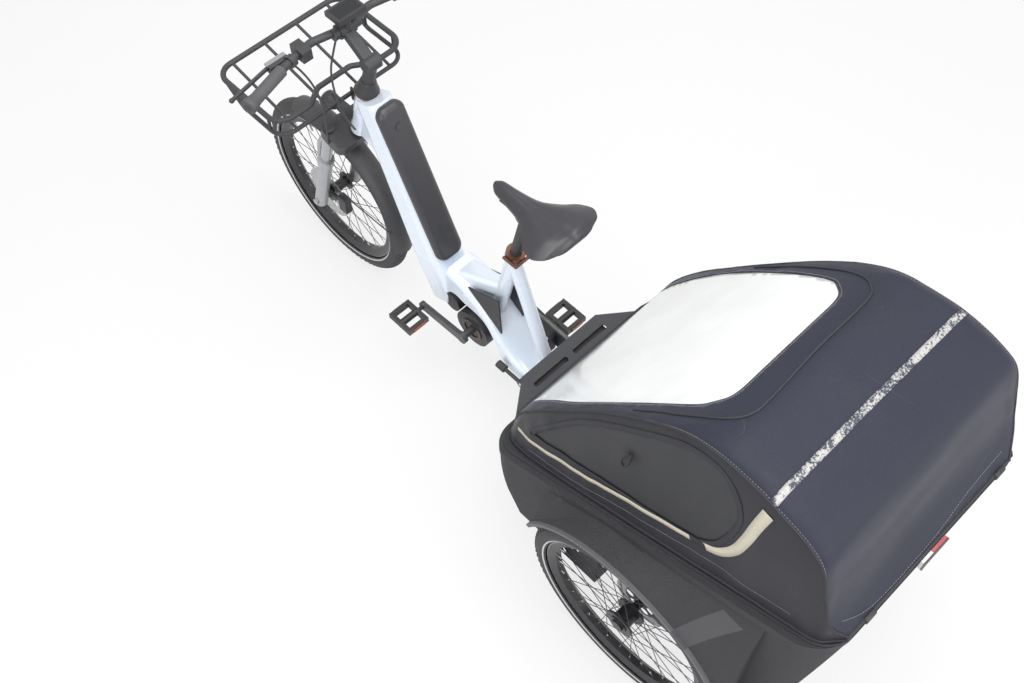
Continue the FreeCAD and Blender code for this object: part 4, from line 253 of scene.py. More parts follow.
def cloud(tree, scale, detail, **more):
    """A drifting value from noise that clings to the piece."""
    sockets = {"Vector": coords(tree), "Scale": scale, "Detail": detail, **more}
    return put(tree, "TexNoise", sockets).outputs[0]


def effect(name, inputs, *outputs):
    """An empty group with named sockets, its given sockets and its last node."""
    group = bpy.data.node_groups.new(name, "ShaderNodeTree")
    for label, value in inputs.items():
        kind = "NodeSocketColor" if label in COLOUR_SOCKETS else "NodeSocketFloat"
        group.interface.new_socket(label, in_out="INPUT", socket_type=kind).default_value = value
    for label in outputs:
        kind = "NodeSocketColor" if label in COLOUR_SOCKETS else "NodeSocketFloat"
        group.interface.new_socket(label, in_out="OUTPUT", socket_type=kind)
    return group, group.nodes.new("NodeGroupInput").outputs, group.nodes.new("NodeGroupOutput")


def feed(tree, node, **sockets):
    for label, socket in sockets.items():
        tree.links.new(socket, node.inputs[label.replace("_", " ")])


def use(tree, group, inputs):
    """A placed copy of a shared effect, with its own values."""
    node = tree.nodes.new("ShaderNodeGroup")
    node.node_tree = group
    return wire(tree, node, inputs).outputs


def make_mottle():
    """Two colours drifting into each other, as on any surface that has been in use."""
    group, given, made = effect("Mottle", {"Colour": (0.2, 0.2, 0.2, 1), "Second": (0.3, 0.3, 0.3, 1),
        "Scale": 20.0, "Contrast": 0.2}, "Colour", "Mask")
    drift = cloud(group, given["Scale"], 6.0, Roughness=0.62)
    low = calc(group, "SUBTRACT", 0.5, given["Contrast"])
    high = plus(group, 0.5, given["Contrast"])
    mask = spread(group, drift, low, high)
    feed(group, made, Colour=mixed(group, mask, given["Colour"], given["Second"]), Mask=mask)
    return group


def make_grain():
    """The fine skin of moulded or coated surfaces."""
    group, given, made = effect("Grain", {"Scale": 900.0, "Coarse share": 0.4}, "Height")
    fine = cloud(group, given["Scale"], 2.0)
    wide = times(group, given["Scale"], 0.3)
    cells = put(group, "TexVoronoi", {"Vector": coords(group), "Scale": wide}).outputs["Distance"]
    share = times(group, cells, given["Coarse share"])
    feed(group, made, Height=plus(group, fine, share))
    return group


def make_scuffs():
    """Long thin curved scratches, broken up, from rubbing and handling."""
    group, given, made = effect("Scuffs", {"Scale": 6.0, "Width": 0.004, "Cover": 0.5}, "Mask")
    swirl = cloud(group, given["Scale"], 1.0, Distortion=0.6)
    away = calc(group, "ABSOLUTE", calc(group, "SUBTRACT", swirl, 0.5))
    thin = spread(group, away, 0.0, given["Width"], 1.0, 0.0)
    patchy = cloud(group, times(group, given["Scale"], 2.2), 4.0)
    gate = calc(group, "SUBTRACT", 1.0, given["Cover"])
    shown = spread(group, patchy, gate, plus(group, gate, 0.1))
    feed(group, made, Mask=times(group, thin, shown))
    return group


def make_dust():
    """Pale road dust that settles on what faces up."""
    group, given, made = effect("Dust", {"Colour": (0.1, 0.1, 0.1, 1), "Amount": 0.2}, "Colour", "Mask")
    facing = spread(group, axes(group, put(group, "NewGeometry").outputs["Normal"])["Z"], 0.1, 1.0)
    specks = cloud(group, 260.0, 6.0, Roughness=0.7)
    mask = times(group, times(group, facing, spread(group, specks, 0.35, 0.75)), given["Amount"])
    feed(group, made, Colour=mixed(group, mask, given["Colour"], shade(196, 193, 188)), Mask=mask)
    return group


def make_edge_wear():
    """Where corners stand out and get rubbed."""
    group, given, made = effect("Edge wear", {"Reach": 0.002, "Amount": 0.6}, "Mask")
    round_off = put(group, "Bevel", {"Radius": given["Reach"]}, samples=4).outputs[0]
    flat = put(group, "NewGeometry").outputs["Normal"]
    bend = spread(group, dot(group, round_off, flat), 0.97, 0.8)
    broken = cloud(group, 120.0, 4.0)
    worn = times(group, bend, spread(group, broken, 0.42, 0.6))
    feed(group, made, Mask=times(group, worn, given["Amount"]))
    return group


def make_from_axle():
    """How far a point is from a wheel's axle."""
    group, given, made = effect("Round the axle", {"Ahead": 0.0, "Up": AXLE_UP}, "Radius")
    place = axes(group)
    along = calc(group, "SUBTRACT", place["X"], given["Ahead"])
    rise = calc(group, "SUBTRACT", place["Z"], given["Up"])
    square = plus(group, times(group, along, along), times(group, rise, rise))
    feed(group, made, Radius=calc(group, "SQRT", square))
    return group


def make_weave():
    """Crossing threads over the cloth's own flat cut."""
    group, given, made = effect("Weave", {"Threads": 1800.0}, "Height", "Gap")
    flat = axes(group, coords(group, "UV"))
    warp = ripples(group, flat["X"], given["Threads"])
    weft = ripples(group, flat["Y"], given["Threads"])
    over = times(group, calc(group, "ABSOLUTE", warp), calc(group, "ABSOLUTE", weft))
    feed(group, made, Height=times(group, warp, weft), Gap=over)
    return group


MOTTLE = make_mottle()
GRAIN = make_grain()
SCUFFS = make_scuffs()
DUST = make_dust()
EDGE_WEAR = make_edge_wear()
FROM_AXLE = make_from_axle()
WEAVE = make_weave()


def mottled(tree, colour, second, scale, contrast):
    return use(tree, MOTTLE, {"Colour": colour, "Second": second, "Scale": scale, "Contrast": contrast})


def scuffed(tree, scale, width, cover):
    return use(tree, SCUFFS, {"Scale": scale, "Width": width, "Cover": cover})["Mask"]


def start_finish(name, **sockets):
    """A material with one Principled shader whose steady values are set on its own sockets."""
    finish = bpy.data.materials.new(name)
    finish.use_nodes = True
    tree = finish.node_tree
    surface = tree.nodes["Principled BSDF"]
    for label, value in sockets.items():
        surface.inputs[label.replace("_", " ")].default_value = value
    return finish, tree, surface


def bumped(tree, height, strength, distance):
    return put(tree, "Bump", {"Height": height, "Strength": strength, "Distance": distance}).outputs[0]


def worn_finish(name, colour, second, roughness, grain=900.0, depth=0.1, metallic=0.0, rubbed=None, dust=0.05,
        drift=24.0, scuff=0.3, coarse=0.4, **sockets):
    """A surface with drifting colour, fine grain, light scratches, rubbed corners and some dust."""
    finish, tree, surface = start_finish(name, Metallic=metallic, **sockets)
    second = shade(*second)
    paint = mottled(tree, shade(*colour), second, drift, 0.22)
    pale = shade(*rubbed) if rubbed else tuple(min(1.0, 1.6 * c + 0.03) for c in second[:3]) + (1.0,)
    shown = mixed(tree, times(tree, scuffed(tree, 9.0, 0.003, scuff), 0.35), paint["Colour"], pale)
    if rubbed:
        shown = mixed(tree, use(tree, EDGE_WEAR, {"Reach": 0.0016, "Amount": 0.7})["Mask"], shown, pale)
    dusty = use(tree, DUST, {"Colour": shown, "Amount": dust})
    rough = spread(tree, paint["Mask"], 0.0, 1.0, roughness - 0.06, roughness + 0.08)
    rough = plus(tree, rough, times(tree, dusty["Mask"], 0.3), clamp=True)
    height = use(tree, GRAIN, {"Scale": grain, "Coarse share": coarse})["Height"]
    feed(tree, surface, Base_Color=dusty["Colour"], Roughness=rough,
        Normal=bumped(tree, height, depth, 0.001))
    return finish, tree, surface


def recolour(tree, surface, mask, colour, roughness=None, metallic=None):
    """Paints another finish over part of a surface, where the mask is 1."""
    was = surface.inputs["Base Color"].links[0].from_socket
    tree.links.new(mixed(tree, mask, was, shade(*colour)), surface.inputs["Base Color"])
    for label, value in (("Roughness", roughness), ("Metallic", metallic)):
        if value is None:
            continue
        socket = surface.inputs[label]
        now = socket.links[0].from_socket if socket.links else socket.default_value
        tree.links.new(put(tree, "Mix", {0: mask, 2: now, 3: value}).outputs[0], socket)


def band(tree, value, low, high, soft=0.0004):
    """1 where a value lies between two limits."""
    rise = spread(tree, value, low - soft, low + soft)
    fall = spread(tree, value, high - soft, high + soft, 1.0, 0.0)
    return times(tree, rise, fall)


# Finishes

def ringed_finish(centre, start, end, ring, *worn, **looks):
    """A wheel's finish, with another colour, roughness and metal share on a ring round its axle."""
    finish, tree, surface = worn_finish(*worn, **looks)
    radius = use(tree, FROM_AXLE, {"Ahead": centre[0], "Up": centre[1]})["Radius"]
    recolour(tree, surface, band(tree, radius, start, end), *ring)
    return finish, tree, surface, radius


def tread_rubber(name, centre):
    """Tyre rubber with the pale reflecting ring on its walls."""
    return ringed_finish(centre, 0.2685, 0.2725, ((196, 197, 198), 0.35), name, (52, 52, 55), (62, 62, 64),
        0.7, grain=700.0, depth=0.25, dust=0.1, drift=40.0)[0]


def rim_black(name, centre):
    """Black rim with a painted highlight ring along its edge."""
    # The grey ring near the rim's edge is a painted highlight.
    return ringed_finish(centre, 0.2595, 0.264, ((120, 120, 123), 0.3), name, (38, 38, 41), (50, 50, 53),
        0.36, grain=1400.0, depth=0.05)[0]


def spoke_steel(name, centre):
    """Dark spokes with bright nipples at the rim."""
    return ringed_finish(centre, 0.222, 0.3, ((196, 196, 198), 0.26, 0.9), name, (58, 58, 61), (78, 78, 81),
        0.34, grain=1600.0, depth=0.04, metallic=0.75, dust=0.0)[0]


def hub_and_disc(name, centre, disc_start):
    """A dark hub with its brake disc, turned bright where the pads rub."""
    finish, tree, surface, radius = ringed_finish(centre, disc_start, 0.2, ((176, 176, 178), 0.3, 0.95), name,
        (52, 52, 55), (68, 68, 71), 0.38, grain=1200.0, depth=0.05, metallic=0.6)
    turned = ripples(tree, radius, 9000.0)
    feed(tree, surface, Normal=bumped(tree, turned, 0.12, 0.0004))
    return finish


def motor_case():
    """Black cast case with the copper ring round the crank axle."""
    finish, tree, surface = worn_finish("Motor case", (38, 38, 41), (47, 47, 50), 0.46, grain=1000.0,
        depth=0.16, rubbed=(96, 96, 98))
    recolour(tree, surface, band(tree, axes(tree)["Y"], 0.0625, 0.0645), (84, 62, 52), 0.4, 0.6)
    return finish


def fork_crown_finish():
    """Black crown and caps over bright stanchions."""
    finish, tree, surface = worn_finish("Fork crown", (44, 44, 47), (54, 54, 57), 0.4, grain=1200.0,
        depth=0.08, rubbed=(140, 140, 142))
    up = Vector((-math.cos(STEER_LEAN), 0, math.sin(STEER_LEAN)))
    rise = dot(tree, coords(tree), up)
    zero = spot(*STEER_TOP).dot(up)
    recolour(tree, surface, band(tree, rise, zero - 0.7, zero - 0.2495), (172, 173, 177), 0.2, 0.85)
    return finish


def pedal_finish(node):
    """Black pedal with the orange reflectors on its front and back edges."""
    finish, tree, surface = worn_finish("Pedal " + node, (36, 36, 38), (44, 44, 46), 0.5, depth=0.15,
        rubbed=(120, 120, 122))
    low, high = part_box(node)
    place = axes(tree)
    back = band(tree, place["X"], low[0] - 0.01, low[0] + 0.0029)
    front = band(tree, place["X"], high[0] - 0.0029, high[0] + 0.01)
    recolour(tree, surface, plus(tree, back, front, clamp=True), (150, 80, 45), 0.2)
    return finish


def tub_foam(name):
    """Charcoal bead foam: pressed beads show as fine cells."""
    finish, tree, surface = start_finish(name)
    where = coords(tree)
    beads = put(tree, "TexVoronoi", {"Vector": where, "Scale": 260.0}, feature="DISTANCE_TO_EDGE").outputs[0]
    tint = put(tree, "TexVoronoi", {"Vector": where, "Scale": 260.0}).outputs["Color"]
    tone = axes(tree, tint)["X"]
    base = mixed(tree, tone, shade(44, 44, 48), shade(58, 58, 62))
    base = mixed(tree, spread(tree, beads, 0.0, 0.09, 0.55, 0.0), base, shade(28, 28, 32))
    scratch = scuffed(tree, 7.0, 0.003, 0.4)
    base = mixed(tree, times(tree, scratch, 0.4), base, shade(122, 122, 126))
    dusty = use(tree, DUST, {"Colour": base, "Amount": 0.06})
    height = plus(tree, spread(tree, beads, 0.0, 0.2), times(tree, tone, 0.4))
    feed(tree, surface, Base_Color=dusty["Colour"], Normal=bumped(tree, height, 0.5, 0.0012),
        Roughness=spread(tree, tone, 0.0, 1.0, 0.66, 0.86))
    return finish, tree, surface


def arch_foam():
    """The same foam with a smooth lip round the wheel opening and a smooth strip behind it, both painted
    paler as highlights.
    """
    finish, tree, surface = tub_foam("Arch foam")
    place = axes(tree)
    lip_highlight = spread(tree, calc(tree, "ABSOLUTE", place["Y"]), 0.4215, 0.4225)
    # Painted highlight: the lip round the wheel opening is paler where it faces up to the light.
    recolour(tree, surface, lip_highlight, (92, 92, 96), 0.5)
    # Painted highlight: a paler strip on the facet behind the arch, where it catches the light.
    slant = plus(tree, place["X"], times(tree, place["Z"], 0.5))
    behind = spot(-212, 0, 0).x + 0.3095
    strip = times(tree, band(tree, slant, behind, behind + 0.059, 0.001),
        band(tree, place["Z"], 0.585, 0.752, 0.001))
    recolour(tree, surface, strip, (72, 72, 76), 0.5)
    return finish


def canopy_cloth():
    """Coated navy cloth: fine weave, rub marks, paler where it is stretched."""
    finish, tree, surface = start_finish("Navy coated cloth", Sheen_Weight=0.12, Sheen_Roughness=0.4,
        Specular_IOR_Level=0.35)
    paint = mottled(tree, shade(25, 28, 44), shade(30, 33, 50), 4.0, 0.3)
    weave = use(tree, WEAVE, {"Threads": 5200.0})
    side = spread(tree, calc(tree, "ABSOLUTE", axes(tree, coords(tree, "UV"))["Y"]), 0.3, 0.318)
    plain = mixed(tree, side, paint["Colour"], shade(21, 21, 29))
    base_tone = mixed(tree, spread(tree, weave["Gap"], 0.0, 1.0, 0.0, 0.2), plain, shade(46, 50, 68))
    scratch = scuffed(tree, 3.2, 0.0016, 0.5)
    fine = scuffed(tree, 11.0, 0.002, 0.42)
    marks = plus(tree, times(tree, scratch, 0.4), times(tree, fine, 0.22), clamp=True)
    marked = mixed(tree, marks, base_tone, shade(92, 93, 106))
    rubbed = use(tree, EDGE_WEAR, {"Reach": 0.006, "Amount": 0.25})["Mask"]
    marked = mixed(tree, rubbed, marked, shade(72, 74, 88))
    dusty = use(tree, DUST, {"Colour": marked, "Amount": 0.02})
    folds = cloud(tree, 7.0, 3.0)
    height = plus(tree, times(tree, weave["Height"], 0.04), folds)
    feed(tree, surface, Base_Color=dusty["Colour"], Normal=bumped(tree, height, 0.3, 0.0035),
        Roughness=spread(tree, paint["Mask"], 0.0, 1.0, 0.52, 0.66))
    return finish


def mesh_cloth():
    """Dark sun mesh, see-through between its threads."""
    finish, tree, surface = start_finish("Dark sun mesh")
    weave = use(tree, WEAVE, {"Threads": 2600.0})
    paint = mottled(tree, shade(42, 43, 47), shade(50, 51, 55), 9.0, 0.25)
    scratch = scuffed(tree, 8.0, 0.002, 0.45)
    shown = mixed(tree, times(tree, scratch, 0.3), paint["Colour"], shade(98, 98, 102))
    feed(tree, surface, Base_Color=shown, Normal=bumped(tree, weave["Height"], 0.3, 0.0006),
        Roughness=spread(tree, paint["Mask"], 0.0, 1.0, 0.45, 0.6),
        Alpha=spread(tree, weave["Gap"], 0.0, 1.0, 0.98, 0.8))
    return finish


def clear_film():
    """Milky soft window film with a soft gloss and faint ripples."""
    finish, tree, surface = start_finish("Milky window film", IOR=1.45, Coat_Weight=0.4, Coat_Roughness=0.08)
    paint = mottled(tree, shade(240, 242, 241), shade(250, 251, 250), 5.0, 0.3)
    scratch = scuffed(tree, 6.0, 0.002, 0.4)
    shown = mixed(tree, times(tree, scratch, 0.25), paint["Colour"], shade(206, 208, 208))
    ripple = cloud(tree, 6.0, 2.0)
    feed(tree, surface, Base_Color=shown, Normal=bumped(tree, ripple, 0.12, 0.008),
        Roughness=spread(tree, paint["Mask"], 0.0, 1.0, 0.12, 0.22),
        Alpha=spread(tree, ripple, 0.3, 0.7, 0.86, 0.94))
    return finish


def tape(name, colour, worn_to, wear):
    """Sewn tape, worn through in flakes to the cloth below it."""
    finish, tree, surface = start_finish(name)
    flakes = cloud(tree, 150.0, 8.0, Roughness=0.75)
    wide = cloud(tree, 22.0, 2.0)
    amount = plus(tree, times(tree, flakes, 0.7), times(tree, wide, 0.3))
    gone = spread(tree, amount, wear - 0.02, wear + 0.02, 1.0, 0.0)
    faded = tuple(0.86 * c for c in colour[:3]) + (1.0,)
    tone = mottled(tree, colour, faded, 60.0, 0.3)
    feed(tree, surface, Base_Color=mixed(tree, gone, tone["Colour"], worn_to),
        Roughness=spread(tree, gone, 0.0, 1.0, 0.4, 0.62), Normal=bumped(tree, amount, 0.3, 0.0008))
    return finish


def cushion_cloth():
    """Woven grey seat cloth."""
    finish, tree, surface = start_finish("Grey cushion cloth", Sheen_Weight=0.3, Sheen_Roughness=0.5)
    paint = mottled(tree, shade(112, 114, 120), shade(128, 130, 136), 16.0, 0.25)
    place = axes(tree)
    threads = times(tree, ripples(tree, place["X"], 2600.0), ripples(tree, place["Y"], 2600.0))
    tuft = cloud(tree, 300.0, 3.0)
    rough = spread(tree, paint["Mask"], 0.0, 1.0, 0.8, 0.95)
    feed(tree, surface, Base_Color=paint["Colour"], Roughness=rough,
        Normal=bumped(tree, plus(tree, threads, tuft), 0.35, 0.0008))
    return finish


def lamp_red():
    """Red lamp lens with fine prisms behind its face."""
    finish, tree, surface = start_finish("Red lamp lens", Coat_Weight=0.8, Coat_Roughness=0.04)
    place = axes(tree)
    prisms = plus(tree, ripples(tree, place["Y"], 1800.0), ripples(tree, place["Z"], 1800.0))
    red = mixed(tree, spread(tree, prisms, -1.0, 1.0), shade(176, 44, 54), shade(222, 96, 102))
    pale = mixed(tree, spread(tree, place["Y"], 0.008, 0.009), red, shade(226, 222, 222))
    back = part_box("tail_lamp")[0][0]
    housing = spread(tree, place["X"], back + 0.005, back + 0.0055, 1.0, 0.0)
    feed(tree, surface, Base_Color=mixed(tree, housing, pale, shade(40, 40, 43)),
        Normal=bumped(tree, prisms, 0.3, 0.0008), Roughness=spread(tree, prisms, -2.0, 2.0, 0.14, 0.26))
    return finish


def display_finish():
    """Black plastic with a dark glass window on top."""
    finish, tree, surface = worn_finish("Display", (36, 36, 39), (44, 44, 47), 0.42, grain=1000.0)
    low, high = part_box("display")
    place = axes(tree)
    top = spread(tree, place["Z"], high[2] - 0.0006, high[2] - 0.0003)
    inside = times(tree, band(tree, place["X"], low[0] + 0.007, high[0] - 0.007),
        band(tree, place["Y"], low[1] + 0.007, high[1] - 0.007))
    recolour(tree, surface, times(tree, top, inside), (24, 26, 30), 0.08)
    return finish


def battery_shell():
    """Satin black shell with the bright ring of its key lock."""
    finish, tree, surface = worn_finish("Satin battery shell", (54, 54, 58), (58, 58, 62), 0.34, depth=0.05,
        dust=0.02, drift=60.0)
    out = Vector((-math.sin(BATTERY_LEAN), 0, math.cos(BATTERY_LEAN)))
    lock = spot(*BATTERY_FOOT) + LOCK_ALONG * Vector((math.cos(BATTERY_LEAN), 0, math.sin(BATTERY_LEAN)))
    away = put(tree, "VectorMath", {0: coords(tree), 1: lock}, operation="SUBTRACT").outputs[0]
    span = put(tree, "VectorMath", {0: away}, operation="LENGTH").outputs["Value"]
    rise = dot(tree, away, out)
    round_lock = calc(tree, "SQRT", calc(tree, "SUBTRACT", times(tree, span, span), times(tree, rise, rise)))
    top = spread(tree, rise, 0.0245, 0.025)
    for start, end, *ring in LOCK_RINGS:
        recolour(tree, surface, times(tree, top, band(tree, round_lock, start, end)), *ring)
    return finish


def braided_sleeve():
    """Dark cable sleeve of crossing threads."""
    finish, tree, surface = worn_finish("Cable sleeve", (44, 44, 47), (58, 58, 61), 0.5)
    place = axes(tree)
    slant = times(tree, plus(tree, place["X"], place["Y"]), 1700.0)
    climb = times(tree, place["Z"], 1100.0)
    threads = times(tree, calc(tree, "SINE", plus(tree, slant, climb)),
        calc(tree, "SINE", calc(tree, "SUBTRACT", slant, climb)))
    recolour(tree, surface, spread(tree, threads, 0.15, 0.6), (92, 92, 96))
    feed(tree, surface, Normal=bumped(tree, threads, 0.5, 0.0008))
    return finish


def head_lamp_finish():
    """Dark case with a clear front."""
    finish, tree, surface = worn_finish("Head lamp", (40, 40, 43), (50, 50, 53), 0.4, grain=1000.0)
    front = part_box("head_lamp")[1][0]
    glass = spread(tree, axes(tree)["X"], front - 0.004, front - 0.003)
    recolour(tree, surface, glass, (222, 226, 228), 0.08)
    return finish


def bar_controls_finish():
    """Dark lever mounts, with the paler fluid boxes in front of the bar."""
    finish, tree, surface = worn_finish("Bar controls", (46, 46, 49), (56, 56, 59), 0.42, grain=1000.0,
        depth=0.12, rubbed=(130, 130, 132))
    place = axes(tree)
    ahead = spread(tree, place["X"], spot(1438, 0, 0).x, spot(1440, 0, 0).x)
    out = spread(tree, calc(tree, "ABSOLUTE", place["Y"]), 0.15, 0.152)
    recolour(tree, surface, times(tree, ahead, out), (146, 146, 149), 0.4)
    return finish


FRAME_PAINT = worn_finish("Ice blue gloss paint", (226, 237, 251), (232, 241, 252), 0.26, grain=260.0,
    depth=0.02, dust=0.03, drift=5.0, scuff=0.2, Coat_Weight=0.7, Coat_Roughness=0.06)[0]
BLACK_METAL = worn_finish("Black powder coat", (46, 47, 50), (54, 55, 58), 0.5, grain=1100.0, depth=0.18,
    rubbed=(132, 132, 134))[0]
BLACK_PLASTIC = worn_finish("Black moulded plastic", (40, 40, 43), (48, 48, 51), 0.52, grain=800.0,
    depth=0.22, coarse=0.8)[0]
GUARD_PLASTIC = worn_finish("Dark grey guard plastic", (50, 50, 53), (58, 58, 61), 0.44, dust=0.1)[0]
PLATE_COAT = worn_finish("Charcoal plate coat", (50, 51, 56), (58, 59, 64), 0.55, grain=700.0, depth=0.3,
    rubbed=(140, 140, 142), coarse=0.9)[0]
GREY_FORK = worn_finish("Silver grey fork coat", (166, 167, 171), (178, 179, 183), 0.34, depth=0.05,
    metallic=0.45, rubbed=(206, 206, 208))[0]
GRIP_RUBBER = worn_finish("Grey grip rubber", (74, 74, 77), (84, 84, 87), 0.66, grain=420.0, depth=0.4,
    coarse=1.4)[0]
BARE_STEEL = worn_finish("Plain steel", (168, 168, 170), (186, 186, 188), 0.3, grain=1500.0, depth=0.06,
    metallic=0.9)[0]
OILED_STEEL = worn_finish("Oiled chain steel", (92, 90, 86), (120, 118, 112), 0.32, grain=1500.0,
    metallic=0.85, dust=0.0)[0]
COPPER = worn_finish("Copper anodised", (102, 66, 48), (112, 74, 55), 0.36, grain=1400.0, depth=0.05,
    metallic=0.5)[0]
CRANK_ALLOY = worn_finish("Dark crank alloy", (66, 66, 69), (78, 78, 81), 0.4, grain=1200.0, depth=0.08,
    metallic=0.3, rubbed=(150, 150, 152))[0]
CABLE_SLEEVE = braided_sleeve()
CANOPY_CLOTH = canopy_cloth()
PIPING_CLOTH = worn_finish("Dark piping", (26, 27, 34), (33, 34, 42), 0.6, grain=1400.0, depth=0.3)[0]
MESH_CLOTH = mesh_cloth()
CLEAR_FILM = clear_film()
CREAM_TAPE = tape("Cream tape", shade(206, 199, 180), shade(92, 92, 98), 0.36)
SILVER_TAPE = tape("Worn silver tape", shade(188, 187, 184), shade(60, 62, 76), 0.5)
THREAD = worn_finish("Grey thread", (124, 125, 132), (146, 147, 152), 0.7, grain=2000.0, depth=0.3)[0]
SADDLE_COVER = worn_finish("Saddle cover", (48, 48, 53), (52, 52, 57), 0.34, grain=620.0, depth=0.07,
    dust=0.02, drift=60.0)[0]
CUSHION_CLOTH = cushion_cloth()
FOAM = tub_foam("Charcoal bead foam")[0]
LAMP_RED = lamp_red()

DRESSED = (
    (FRAME_PAINT, "head_tube down_tube main_beam seat_tube seat_brace"),
    (BLACK_METAL, "chassis_spine axle_frame floor_frame rear_calipers front_carrier stem handlebar "
     "front_caliper seat_post tilt_lock_lever brake_lever_left brake_lever_right"),
    (BARE_STEEL, "bearings canopy_hoops differential tilt_shaft"),
    (FOAM, "cargo_tub"),
    (arch_foam(), "wheel_arches"),
    (PLATE_COAT, "step_plate"),
    (LAMP_RED, "tail_lamp"),
    (motor_case(), "motor_unit"),
    (BLACK_PLASTIC, "motor_covers chain_guard"),
    (COPPER, "seat_collar"),
    (fork_crown_finish(), "fork_crown"),
    (display_finish(), "display"),
    (GRIP_RUBBER, "grips"),
    (bar_controls_finish(), "bar_controls"),
    (head_lamp_finish(), "head_lamp"),
    (GREY_FORK, "fork_legs"),
    (GUARD_PLASTIC, "front_mudguard"),
    (CRANK_ALLOY, "cranks"),
    (OILED_STEEL, "chainring"),
    (battery_shell(), "battery"),
)


def dress(node, finish):
    """Gives a node of the frame its finish."""
    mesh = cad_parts[node].data
    mesh.materials.clear()
    mesh.materials.append(finish)


for finish, nodes in DRESSED:
    for node in nodes.split():
        dress(node, finish)
for pedal in ("pedal_left", "pedal_right"):
    dress(pedal, pedal_finish(pedal))


# Camera: its place in metres, its turn, tilt and roll in degrees, and its lens

EYE = (-1.27235, 1.2834, 3.2611)
EYE_ANGLES = (-43.28, 57.91, -1.02)
SENSOR_WIDE, FOCAL_LENGTH = 36.0, 42.127


def camera():
    """The photograph's own viewpoint, lens and slight roll."""
    turn, down, roll = [math.radians(angle) for angle in EYE_ANGLES]
    ahead = Vector((math.cos(down) * math.cos(turn), math.cos(down) * math.sin(turn), -math.sin(down)))
    right = Vector((math.sin(turn), -math.cos(turn), 0))
    up = right.cross(ahead)
    side = math.cos(roll) * right + math.sin(roll) * up
    top = -math.sin(roll) * right + math.cos(roll) * up
    lens = bpy.data.cameras.new("Photo camera")
    lens.sensor_fit, lens.sensor_width, lens.lens = "HORIZONTAL", SENSOR_WIDE, FOCAL_LENGTH
    lens.clip_start, lens.clip_end = 0.05, 60.0
    eye = placed("Photo camera", lens)
    eye.matrix_world = Matrix(((side.x, top.x, -ahead.x, EYE[0]), (side.y, top.y, -ahead.y, EYE[1]),
        (side.z, top.z, -ahead.z, EYE[2]), (0, 0, 0, 1)))
    bpy.context.scene.camera = eye


camera()


# Control cables, along the routes of the plain tubes that they stand for

def cable(name, route):
    """A cable from the bar back into the part lower down."""
    points = [spot(STEER_TOP[0] + x, y, STEER_TOP[2] + z) for x, y, z in route]
    line = line_mesh(name + "_line", points, 0.0)
    bpy.data.meshes.remove(line)
    piece = piece_from(name, line_mesh(name, points, 0.003), CABLE_SLEEVE, None)
    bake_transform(piece)
    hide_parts("control_cables")


cable("brake_hose", ((67, 168, 166.5), (93, 148, 130), (105, 122, 80), (95, 102, 24), (85, 94, -38),
    (83, 93, -100), (87, 94, -154), (92, 94.4, -212)))
cable("frame_loom", ((53, 34, 166.8), (63, 46, 114), (71, 56, 60), (67, 60, 2), (55, 60, -58), (39, 54, -104),
    (15, 47, -132)))


# Wheels: the tyre's ring and section, its bead in degrees round the section, and its tread

TYRE_RING, TYRE_SECTION, TYRE_SWELL, TYRE_BEAD = 0.2835, 0.0284, 0.0006, 132
TYRE_TURNS, TYRE_STEPS = 132, 26
TREAD_SECTION, TREAD_TAPER, TREAD_BLOCKS = 0.0300, 0.86, 78
# Each row of blocks: its middle and half width in degrees, its shift and its length as shares of the pitch
TREAD_ROWS = ((0, 7.5, 0.0, 0.74), (21, 8, 0.5, 0.62), (-21, 8, 0.5, 0.62), (43, 9, 0.0, 0.52),
    (-43, 9, 0.0, 0.52))
VALVE_TURN, VALVE_RADIUS, VALVE_REACH = math.radians(64), 0.0032, (0.236, 0.222, 0.204)


def tyre(wheel, centre, track, finish):
    """A tyre lathed from its section, with rows of tread blocks on its crown."""
    points, faces = [], []

    def at(turn, lean, section):
        out = TYRE_RING + section * math.cos(lean)
        side = track + section * math.sin(lean)
        return centre[0] + out * math.cos(turn), side, centre[1] + out * math.sin(turn)

    row = TYRE_STEPS + 1
    for i in range(TYRE_TURNS):
        k = (i + 1) % TYRE_TURNS
        for j in range(row):
            lean = math.radians(-TYRE_BEAD + 2 * TYRE_BEAD * j / TYRE_STEPS)
            bulge = TYRE_SECTION + TYRE_SWELL * math.cos(3 * lean)
            points.append(at(math.tau * i / TYRE_TURNS, lean, bulge))
        faces += [(i * row + j, k * row + j, k * row + j + 1, i * row + j + 1) for j in range(TYRE_STEPS)]
    for lean_mid, lean_half, shift, share in TREAD_ROWS:
        for b in range(TREAD_BLOCKS):
            middle = math.tau * (b + shift) / TREAD_BLOCKS
            half = math.tau * share / TREAD_BLOCKS / 2
            slant = 0.25 * half * (1 if lean_mid > 0 else -1 if lean_mid < 0 else 0)
            first = len(points)
            for section, shrink in ((TYRE_SECTION - TYRE_SWELL, 1.0), (TREAD_SECTION, TREAD_TAPER)):
                for u, v in BLOCK_CORNERS:
                    turn = middle + u * half * shrink + v * slant
                    points.append(at(turn, math.radians(lean_mid + v * lean_half * shrink), section))
            faces += block_faces(first)
    piece = mesh_piece(wheel + "_tread_tyre", points, faces, finish, wheel + "_wheel")
    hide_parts(wheel + "_tyre")
    return sharpen(piece, 40)


def valve(wheel, centre, track):
    """The valve stem that stands in from the rim."""
    points = [(centre[0] + r * math.cos(VALVE_TURN), track, centre[1] + r * math.sin(VALVE_TURN))
        for r in VALVE_REACH]
    return cord_piece(wheel + "_valve", points, VALVE_RADIUS, BARE_STEEL, wheel + "_wheel", "steel")


